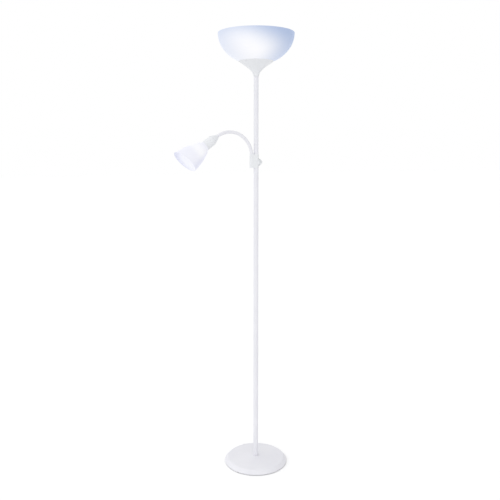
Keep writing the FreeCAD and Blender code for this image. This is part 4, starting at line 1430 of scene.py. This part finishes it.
@dataclass(frozen=True)
class BulbGlass:
    """Round bulb: a neck that swells into a globe. Its angles are degrees above the globe's middle."""

    cap_end: float
    neck: float
    globe: float
    centre: float
    neck_rise: float = 2.0 * MM
    swell_steps: int = 14
    globe_from: float = -42.0
    globe_to: float = 89.0
    globe_steps: int = 40

    def outline(self) -> list[Point2]:
        """Half section of the glass, closed across its neck.

        Returns:
            Its points (r, z).
        """
        join = math.radians(self.globe_from)
        meet = Vector((self.globe * math.cos(join), self.centre + self.globe * math.sin(join)))
        start = Vector((self.neck, self.cap_end + self.neck_rise))
        length = (meet - start).length
        leave = Vector((0.0, 1.0)) * length
        arrive = Vector((-math.sin(join), math.cos(join))) * length
        points = [(0.0, self.cap_end), (self.neck, self.cap_end)]
        for step in range(self.swell_steps):
            points.append(hermite(start, meet, leave, arrive, step / self.swell_steps))
        sweep = self.globe_to - self.globe_from
        for step in range(self.globe_steps + 1):
            angle = math.radians(self.globe_from + sweep * step / self.globe_steps)
            points.append((self.globe * math.cos(angle), self.centre + self.globe * math.sin(angle)))
        return points + [(0.0, self.centre + self.globe)]


@dataclass
class ReadingHead(SubAssembly):
    """Socket cup, bell shade, clamping ring and bulb, along the head's own axis from the neck's end."""

    body: Body = Body.HEAD
    end_turn: float = NECK_END_TURN
    cup_bore: float = 5.0 * MM
    cup_tail: float = 9.0 * MM
    cup_taper: float = 24.0 * MM
    cup_radius: float = 19.25 * MM
    cup_length: float = 62.0 * MM
    cup_wall: float = 1.5 * MM
    taper_lift: float = 0.4
    tail_draw: float = 0.6
    seat: float = 62.5 * MM
    shade_length: float = 118.0 * MM
    shade_wall: float = 2.0 * MM
    flange: float = 2.5 * MM
    hole: float = 14.3 * MM
    collar: float = 20.5 * MM
    collar_edge: float = 0.5 * MM
    belly: tuple[Point2, ...] = (
        (0.09, 26.75 * MM), (0.24, 34.5 * MM), (0.43, 42.25 * MM), (0.62, 47.25 * MM), (0.80, 50.0 * MM),
    )
    mouth: float = 54.5 * MM
    mouth_at: float = 100.0 * MM
    mouth_tilt: float = math.radians(11.0)
    mouth_turn: float = math.radians(37.0)
    knot_steps: int = 14
    wall_steps: int = 60
    ring_bore: float = 14.1 * MM
    ring_radius: float = 18.0 * MM
    ring_height: float = 4.5 * MM
    bulb_cap: float = 7.0 * MM
    bulb_cap_end: float = 69.2 * MM

    def build(self) -> None:
        """Make the head's pieces."""
        place = axis_place(self.path.point(self.end_turn), self.path.heading(self.end_turn))
        self.cup(place)
        self.shade(place)
        self.ring(place)
        self.glass(place)

    def cup(self, place: Matrix) -> None:
        """Moulded cup with a tapered tail.

        Args:
            place: Matrix of the head's axis.
        """
        wall = self.cup_wall
        inside = self.cup_radius - wall
        outline = eased([
            (self.cup_bore, 0.0, 0.0),
            (self.cup_tail, 0.0, 1.2 * MM),
            (self.cup_radius, self.cup_taper, 5.0 * MM),
            (self.cup_radius, self.cup_length, 0.6 * MM),
            (inside, self.cup_length, 0.4 * MM),
            (inside, self.cup_taper + self.taper_lift * wall, 4.0 * MM),
            (self.cup_tail - self.tail_draw * wall, wall, 1.0 * MM),
            (self.cup_bore, wall, 0.0),
        ], steps=8)
        piece = lathe("head_cup", outline, self.made[Finish.PLASTIC], Round.TUBE, place)
        self.register(piece, Slot.PLASTIC, "reading_cup")

    def outer_line(self) -> list[Point2]:
        """Bell's outside from its collar to its mouth, as a smooth line through its main diameters.

        Returns:
            Its points (r, z).
        """
        knots = [Vector((self.collar, self.seat + self.flange))]
        knots += [Vector((radius, self.seat + share * self.shade_length)) for share, radius in self.belly]
        knots.append(Vector((self.mouth, self.seat + self.shade_length)))
        return smooth_line(knots, self.knot_steps)

    def trimmed(self, line: Sequence[Point2], angle: float) -> list[Point2]:
        """The line up to the leaning mouth, in even steps.

        Args:
            line: Section points, from the collar outwards.
            angle: Place round the axis.

        Returns:
            Always the same number of points.
        """
        lean = math.cos(self.mouth_turn) * math.sin(angle) - math.sin(self.mouth_turn) * math.cos(angle)
        slope = math.tan(self.mouth_tilt) * lean
        limit = self.seat + self.mouth_at
        kept = [Vector(line[0])]
        for r, z in line[1:]:
            over = z - slope * r - limit
            if over > 0:
                last = kept[-1]
                before = last.y - slope * last.x - limit
                kept.append(last.lerp(Vector((r, z)), -before / (over - before)))
                break
            kept.append(Vector((r, z)))
        return even_steps(kept, self.wall_steps)

    def shade(self, place: Matrix) -> None:
        """Bell with an even wall, a flat collar and a rounded, leaning lip.

        Args:
            place: Matrix of the head's axis.
        """
        floor = self.seat + self.flange
        outer = self.outer_line()
        inner = [(r, max(z, floor)) for r, z in offset_line(outer, self.shade_wall)]
        edge = self.collar_edge
        collar = [(self.hole, self.seat), (self.collar - edge, self.seat), (self.collar, self.seat + edge)]

        def section(angle: float) -> list[Point2]:
            """Section of the bell.

            Args:
                angle: Place round the axis.

            Returns:
                Its points (r, z).
            """
            outside, inside = self.trimmed(outer, angle), self.trimmed(inner, angle)
            lip = lip_points(outside[-1], inside[-1])
            return collar + outside + lip + inside[::-1] + [(self.hole, floor)]

        piece = turned("bell_shade", section, self.made[Finish.BELL], Round.SHADE, place)
        mark_inside(piece, place)
        self.register(piece, Slot.BELL, "reading_shade")

    def ring(self, place: Matrix) -> None:
        """Clamping ring on the bell's collar.

        Args:
            place: Matrix of the head's axis.
        """
        low = self.seat + self.flange
        ring = GripRing(self.ring_bore, self.ring_radius, low, low + self.ring_height)
        piece = ring.build("bell_clamp_ring", self.made[Finish.HOLDER], place)
        self.register(piece, Slot.HOLDER, "reading_shade_ring")

    def glass(self, place: Matrix) -> None:
        """Small round bulb.

        Args:
            place: Matrix of the head's axis.
        """
        outline = BulbGlass(self.bulb_cap_end, self.bulb_cap, READING_GLOBE, READING_GLOBE_AT).outline()
        piece = lathe("reading_bulb", outline, self.made[Finish.READING_BULB], Round.TUBE, place)
        self.register(piece, Slot.GLASS, "reading_bulb_glass")


@dataclass
class Uplighter(SubAssembly):
    """Bowl, trumpet cover, clamping ring and bulb on the pole's top."""

    bowl_depth: float = 120.0 * MM
    bowl_wall: float = 2.0 * MM
    bowl_steps: int = 56
    seat_radius: float = 26.0 * MM
    hole_radius: float = 20.3 * MM
    funnel_foot: float = 11.0 * MM
    funnel_flare: tuple[Point2, ...] = (
        (0.22, 15.0 * MM), (0.41, 23.5 * MM), (0.60, 36.0 * MM), (0.77, 49.5 * MM),
    )
    funnel_steps: int = 12
    funnel_wall: float = 1.5 * MM
    funnel_rim: float = 1.2 * MM
    seat_gap: float = 0.3 * MM
    tube_gap: float = 0.05 * MM
    ring_bore: float = 19.9 * MM
    cap_radius: float = 13.2 * MM

    def build(self) -> None:
        """Make the uplighter's pieces."""
        self.bowl()
        self.funnel()
        self.ring()
        self.glass()

    def bowl_centre(self) -> float:
        """Height of the middle of the bowl's ellipse."""
        return self.frame.high("bowl_shade").z - self.bowl_wall / 2

    def bowl_line(self, radius: float, depth: float, start: float) -> list[Point2]:
        """Quarter ellipse from a small radius out to the rim.

        Args:
            radius: The ellipse's half width.
            depth: Its half height.
            start: The small radius.

        Returns:
            Its points (r, z).
        """
        first, centre = math.acos(start / radius), self.bowl_centre()
        angles = [first * (1 - i / self.bowl_steps) for i in range(self.bowl_steps + 1)]
        return [(radius * math.cos(angle), centre - depth * math.sin(angle)) for angle in angles]

    def bowl(self) -> None:
        """Half-ellipsoid shade with an even wall and a rounded rim."""
        radius = self.frame.radius("bowl_shade")
        seat = self.frame.low("bowl_shade").z
        floor = seat + self.bowl_wall
        outer = self.bowl_line(radius, self.bowl_depth, self.seat_radius)
        inner_radius, inner_depth = radius - self.bowl_wall, self.bowl_depth - self.bowl_wall
        start = inner_radius * math.sqrt(1 - ((self.bowl_centre() - floor) / inner_depth) ** 2)
        inner = self.bowl_line(inner_radius, inner_depth, start)
        lip = lip_points(outer[-1], inner[-1])
        outline = [(self.hole_radius, seat)] + outer + lip + inner[::-1] + [(self.hole_radius, floor)]
        piece = lathe("uplight_bowl", outline, self.made[Finish.BOWL], Round.DISC)
        self.register(piece, Slot.BOWL, "bowl_shade")

    def funnel(self) -> None:
        """Trumpet-shaped cover, open at the top, that follows the bowl's underside."""
        low = self.frame.low("funnel_cover").z
        radius, top = self.frame.radius("bowl_shade"), self.frame.radius("funnel_cover")
        centre = self.bowl_centre()
        seat = centre - self.bowl_depth * math.sqrt(1 - (top / radius) ** 2)
        foot, crest = Vector((self.funnel_foot, low)), Vector((top, seat - self.funnel_rim))
        flare = [Vector((r, foot.y + share * (crest.y - foot.y))) for share, r in self.funnel_flare]
        outer = smooth_line([foot, *flare, crest], self.funnel_steps)
        limit = self.frame.radius("top_tube") + self.tube_gap
        ceiling, drop = radius + self.seat_gap, self.bowl_depth + self.seat_gap
        inner = [(max(r, limit), z) for r, z in offset_line(outer, self.funnel_wall)]
        inner = [(r, min(z, centre - drop * math.sqrt(1 - (r / ceiling) ** 2))) for r, z in inner]
        outline = [(limit, low)] + outer + [(top, seat - self.seat_gap)] + inner[::-1]
        piece = lathe("trumpet_cover", outline, self.made[Finish.PLASTIC], Round.SHADE)
        self.register(piece, Slot.PLASTIC, "funnel_cover")

    def ring(self) -> None:
        """Clamping ring on the bowl's seat."""
        node = "bowl_ring"
        low, high = self.frame.low(node).z, self.frame.high(node).z
        ring = GripRing(self.ring_bore, self.frame.radius(node), low, high)
        self.register(ring.build("bowl_clamp_ring", self.made[Finish.HOLDER]), Slot.HOLDER, node)

    def glass(self) -> None:
        """Round bulb over its cap."""
        centre = self.frame.high("top_bulb_glass").z - UPLIGHT_GLOBE
        glass = BulbGlass(self.frame.high("top_bulb_cap").z, self.cap_radius, UPLIGHT_GLOBE, centre)
        piece = lathe("uplight_bulb", glass.outline(), self.made[Finish.UPLIGHT_BULB], Round.BULB)
        self.register(piece, Slot.GLASS, "top_bulb_glass")


# The lamp's own finishes


@dataclass
class Finishes:
    """Recipes of the lamp's materials. The glows are placed by the bulbs, and those of the two shades hold
    painted highlight and shade.
    """

    frame: Frame
    path: NeckPath

    def build(self) -> dict[Finish, Material]:
        """Make the materials.

        Returns:
            Each material by its finish.
        """
        uplight = Vector((0.0, 0.0, self.frame.high("top_bulb_glass").z - UPLIGHT_GLOBE))
        head = self.path.heading(NECK_END_TURN)
        reading = self.path.point(NECK_END_TURN) + head * READING_GLOBE_AT
        recipes = {
            Finish.PAINT: WhiteCoat(
                (0.82, 0.82, 0.86), (0.80, 0.80, 0.845), (0.38, 0.5), 900.0, 0.03 * MM, specular=0.3),
            Finish.PLASTIC: WhiteCoat(
                (0.815, 0.83, 0.85), (0.80, 0.815, 0.84), (0.34, 0.46), 1400.0, 0.01 * MM),
            Finish.HOLDER: WhiteCoat(
                (0.80, 0.80, 0.78), (0.77, 0.77, 0.75), (0.3, 0.42), 1200.0, 0.01 * MM),
            Finish.BLACK: WhiteCoat(
                (0.02, 0.02, 0.022), (0.03, 0.03, 0.032), (0.35, 0.5), 1200.0, 0.02 * MM),
            Finish.BOWL: self.bowl_finish(uplight),
            Finish.BELL: self.bell_finish(reading, head),
            Finish.UPLIGHT_BULB: LitBulb(uplight, UP, UPLIGHT_GLOBE, strength=2.0),
            Finish.READING_BULB: LitBulb(reading, head, READING_GLOBE, strength=1.2),
            Finish.STEEL: BareMetal((0.62, 0.63, 0.64), (0.52, 0.53, 0.54), (0.22, 0.4)),
            Finish.PLATE: BareMetal((0.55, 0.56, 0.57), (0.47, 0.48, 0.49), (0.3, 0.5), (1.0, 18.0, 1.0)),
            Finish.BRASS: BareMetal((0.76, 0.55, 0.24), (0.62, 0.44, 0.18), (0.25, 0.42)),
            Finish.CAP: BareMetal((0.74, 0.75, 0.76), (0.62, 0.63, 0.64), (0.25, 0.42)),
            Finish.IRON: BareMetal(
                (0.075, 0.075, 0.08), (0.05, 0.045, 0.04), (0.6, 0.85),
                metallic=0.6, grain_scale=700.0, grain_depth=0.25 * MM),
            Finish.FOAM: SoftRubber(
                (0.46, 0.46, 0.47), (0.3, 0.3, 0.31), (0.72, 0.85), 700.0, 0.2 * MM),
            Finish.GROMMET: SoftRubber(
                (0.76, 0.77, 0.79), (0.7, 0.71, 0.73), (0.47, 0.6), 1500.0, 0.02 * MM),
            Finish.SHEATH: SoftRubber(
                (0.72, 0.72, 0.74), (0.66, 0.66, 0.68), (0.42, 0.55), 1500.0, 0.02 * MM),
        }
        return {finish: recipe.build(finish.value) for finish, recipe in recipes.items()}

    def bowl_finish(self, bulb: Vector) -> OpalShade:
        """Bowl's glow with painted light: a painted highlight low on the front left, where the bulb shows
        through towards the camera, fading up to the rim, and painted shade round to the right, as if light
        fell from the left.

        Args:
            bulb: Middle of the uplight's bulb.

        Returns:
            The shade's recipe.
        """
        # The camera's right across its view: the painted highlight and shade are set by where the camera
        # stands.
        right = Vector((0.91, -0.415, 0.0))
        up_right = (UP + 0.45 * right).normalized()
        down_right = (0.8 * right - UP).normalized()
        # The dim colour is the bowl's painted shade, deepest on the right.
        glow = GlowWithPaintedShade((0.826, 0.747, 0.588), (0.12, 0.166, 0.255), (
            Fade(-UP, 0.26, 0.45, -0.08),
            Fade(UP, 0.096, 0.63, 0.004),
            Fade(up_right, 0.164, 0.0, -0.057),
            Fade(-right, 0.37, 0.0, -0.065),
            Fade(down_right, 0.123, 0.0, 0.014),
        ))
        return OpalShade((0.34, 0.39, 0.52), bulb, glow)

    def bell_finish(self, bulb: Vector, head: Vector) -> OpalShade:
        """Bell's glow with painted shade: full round the shoulder outside, and deep inside past the lip.
        Painted shade falls outside on the underside and by the collar, and inside towards the back.

        Args:
            bulb: Middle of the reading light's bulb.
            head: Direction of the head's axis.

        Returns:
            The shade's recipe.
        """
        below = Vector((0.595, 0.0, -0.804))
        back = Vector((0.0, 1.0, 0.0))
        shoulder = bulb - 0.024 * head
        # Outside: the fades below and towards the collar paint shade on the underside and at the collar.
        outside = GlowWithPaintedShade((0.50, 0.50, 0.47), (0.347, 0.354, 0.405), (
            Fade(head, 0.034, 0.44, 0.017),
            Fade(-head, 0.053, 0.36, -0.024),
            Fade(below, 0.034, 0.0, 0.002),
            Fade(-below, 0.02, 0.82, 0.016),
        ))
        # Inside: the fade towards the back paints shade on the far side of the mouth.
        inside = GlowWithPaintedShade((0.43, 0.435, 0.43), (0.29, 0.305, 0.37), (
            Fade(head, 0.024, 0.0, 0.068),
            Fade(-below, 0.02, 0.585, 0.013),
            Fade(back, 0.18, 0.8, 0.05),
        ))
        return OpalShade((0.47, 0.47, 0.53), shoulder, outside, inside)


# Studio


@dataclass
class Studio:
    """Pale floor, soft light and the camera."""

    camera_spot: Triple = (-1.0449, -2.2345, 1.302)
    look_turn: float = -24.5
    look_down: float = 6.87
    focal_px: float = 613.0
    frame_px: float = 500.0
    horizon_shift: float = -0.05
    sensor: float = 36.0
    clip: Point2 = (0.05, 200.0)
    floor_size: float = 60.0
    floor_colour: Triple = (0.93, 0.93, 0.935)
    floor_shade: float = 0.995
    floor_cloud_scale: float = 1.5
    floor_lift: float = 0.13
    far_lift: float = 0.145
    # Where the floor's white lift begins round the base: it is left off inside, which paints a darker contact
    # shade at the base's edge.
    painted_contact_shade_edge: Point2 = (0.124, 0.132)
    lift_change: Point2 = (0.6, 4.0)
    sky: float = 1.03
    sky_most: float = 1.12
    sky_tilt: Triple = (-0.5, 0.0, 0.0)
    key: tuple[float, Triple, float] = (3.0, (-2.6, -2.2, 2.6), 2.4)
    fill: tuple[float, Triple, float] = (5.0, (-0.9, -2.8, 0.15), 1.6)
    aim: Triple = (0.0, 0.0, 1.2)

    def build(self) -> None:
        """Make the camera, the stage and the lights."""
        self.camera()
        self.floor()
        self.world()
        self.lights()
        bpy.context.scene.view_settings.view_transform = "Standard"

    def camera(self) -> None:
        """Camera at the photograph's place, with its horizon above the middle."""
        data = bpy.data.cameras.new("camera")
        data.sensor_width = self.sensor
        data.lens = self.sensor * self.focal_px / self.frame_px
        data.shift_y = self.horizon_shift
        data.clip_start, data.clip_end = self.clip
        eye = add_object("camera", data)
        eye.location = self.camera_spot
        eye.rotation_euler = (math.radians(90.0 - self.look_down), 0.0, math.radians(self.look_turn))
        bpy.context.scene.camera = eye

    def floor(self) -> None:
        """Large pale floor that shows white to the camera and keeps the lamp's shadow, with a painted darker
        ring at the base's edge.
        """
        mesh = bmesh.new()
        bmesh.ops.create_grid(mesh, x_segments=1, y_segments=1, size=self.floor_size / 2)
        tree = ShaderTree("studio floor")
        reach = tree.from_origin()
        # The white lift is left off at the base's edge, which paints a darker contact shade over the real
        # shadow there.
        lift = tree.times(
            tree.span(reach, self.floor_lift, self.far_lift, *self.lift_change, True),
            tree.span(reach, 0.0, 1.0, *self.painted_contact_shade_edge, True),
        )
        shade = tuple(self.floor_shade * c for c in self.floor_colour)
        tree.surface(
            Roughness=0.9,
            Specular_IOR_Level=0.1,
            Base_Color=tree.mixed(tree.noise(self.floor_cloud_scale), self.floor_colour, shade),
            Emission_Color=WHITE,
            Emission_Strength=tree.times(tree.seen("Is Camera Ray", "Is Glossy Ray"), lift),
        )
        finish_mesh("studio_floor", mesh, tree.material)

    def world(self) -> None:
        """White surroundings for the camera, and a softer level for the light on the lamp."""
        world = bpy.data.worlds.new("studio")
        world.use_nodes = True
        tree = Wiring(world.node_tree)
        tree.tree.nodes.clear()
        seen = tree.seen("Is Camera Ray", "Is Glossy Ray", "Is Transmission Ray")
        slope = tree.dot(tree.add("ShaderNodeTexCoord").outputs["Generated"], self.sky_tilt)
        soft = tree.maths("MINIMUM", tree.maths("ADD", slope, self.sky), self.sky_most)
        back = tree.add("ShaderNodeBackground", {"Color": WHITE, "Strength": tree.span(seen, soft, 1.0)})
        tree.add("ShaderNodeOutputWorld", {"Surface": back})
        bpy.context.scene.world = world

    def lights(self) -> None:
        """A broad soft light from the front left, and a low one that lifts what faces the floor."""
        for name, (power, spot, size) in (("key", self.key), ("fill", self.fill)):
            data = bpy.data.lights.new(name, "AREA")
            data.energy = power
            data.size = size
            light = add_object(name, data)
            light.location = spot
            light.rotation_euler = (Vector(self.aim) - Vector(spot)).to_track_quat("-Z", "Y").to_euler()


def main() -> None:
    """Load the frame, build and dress the lamp, and set the studio."""
    logging.basicConfig(level=logging.INFO, format="%(name)s: %(message)s")
    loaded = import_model()
    frame = Frame(loaded["nodes"], loaded["joints"])
    path = NeckPath(frame)
    made = Finishes(frame, path).build()
    frame.dress(made)
    for assembly in (WeightedBase, Pole, SwitchKnob, FlexibleNeck, ReadingHead, Uplighter):
        assembly(frame, path, made).build()
    Studio().build()


if __name__ == "__main__":
    main()
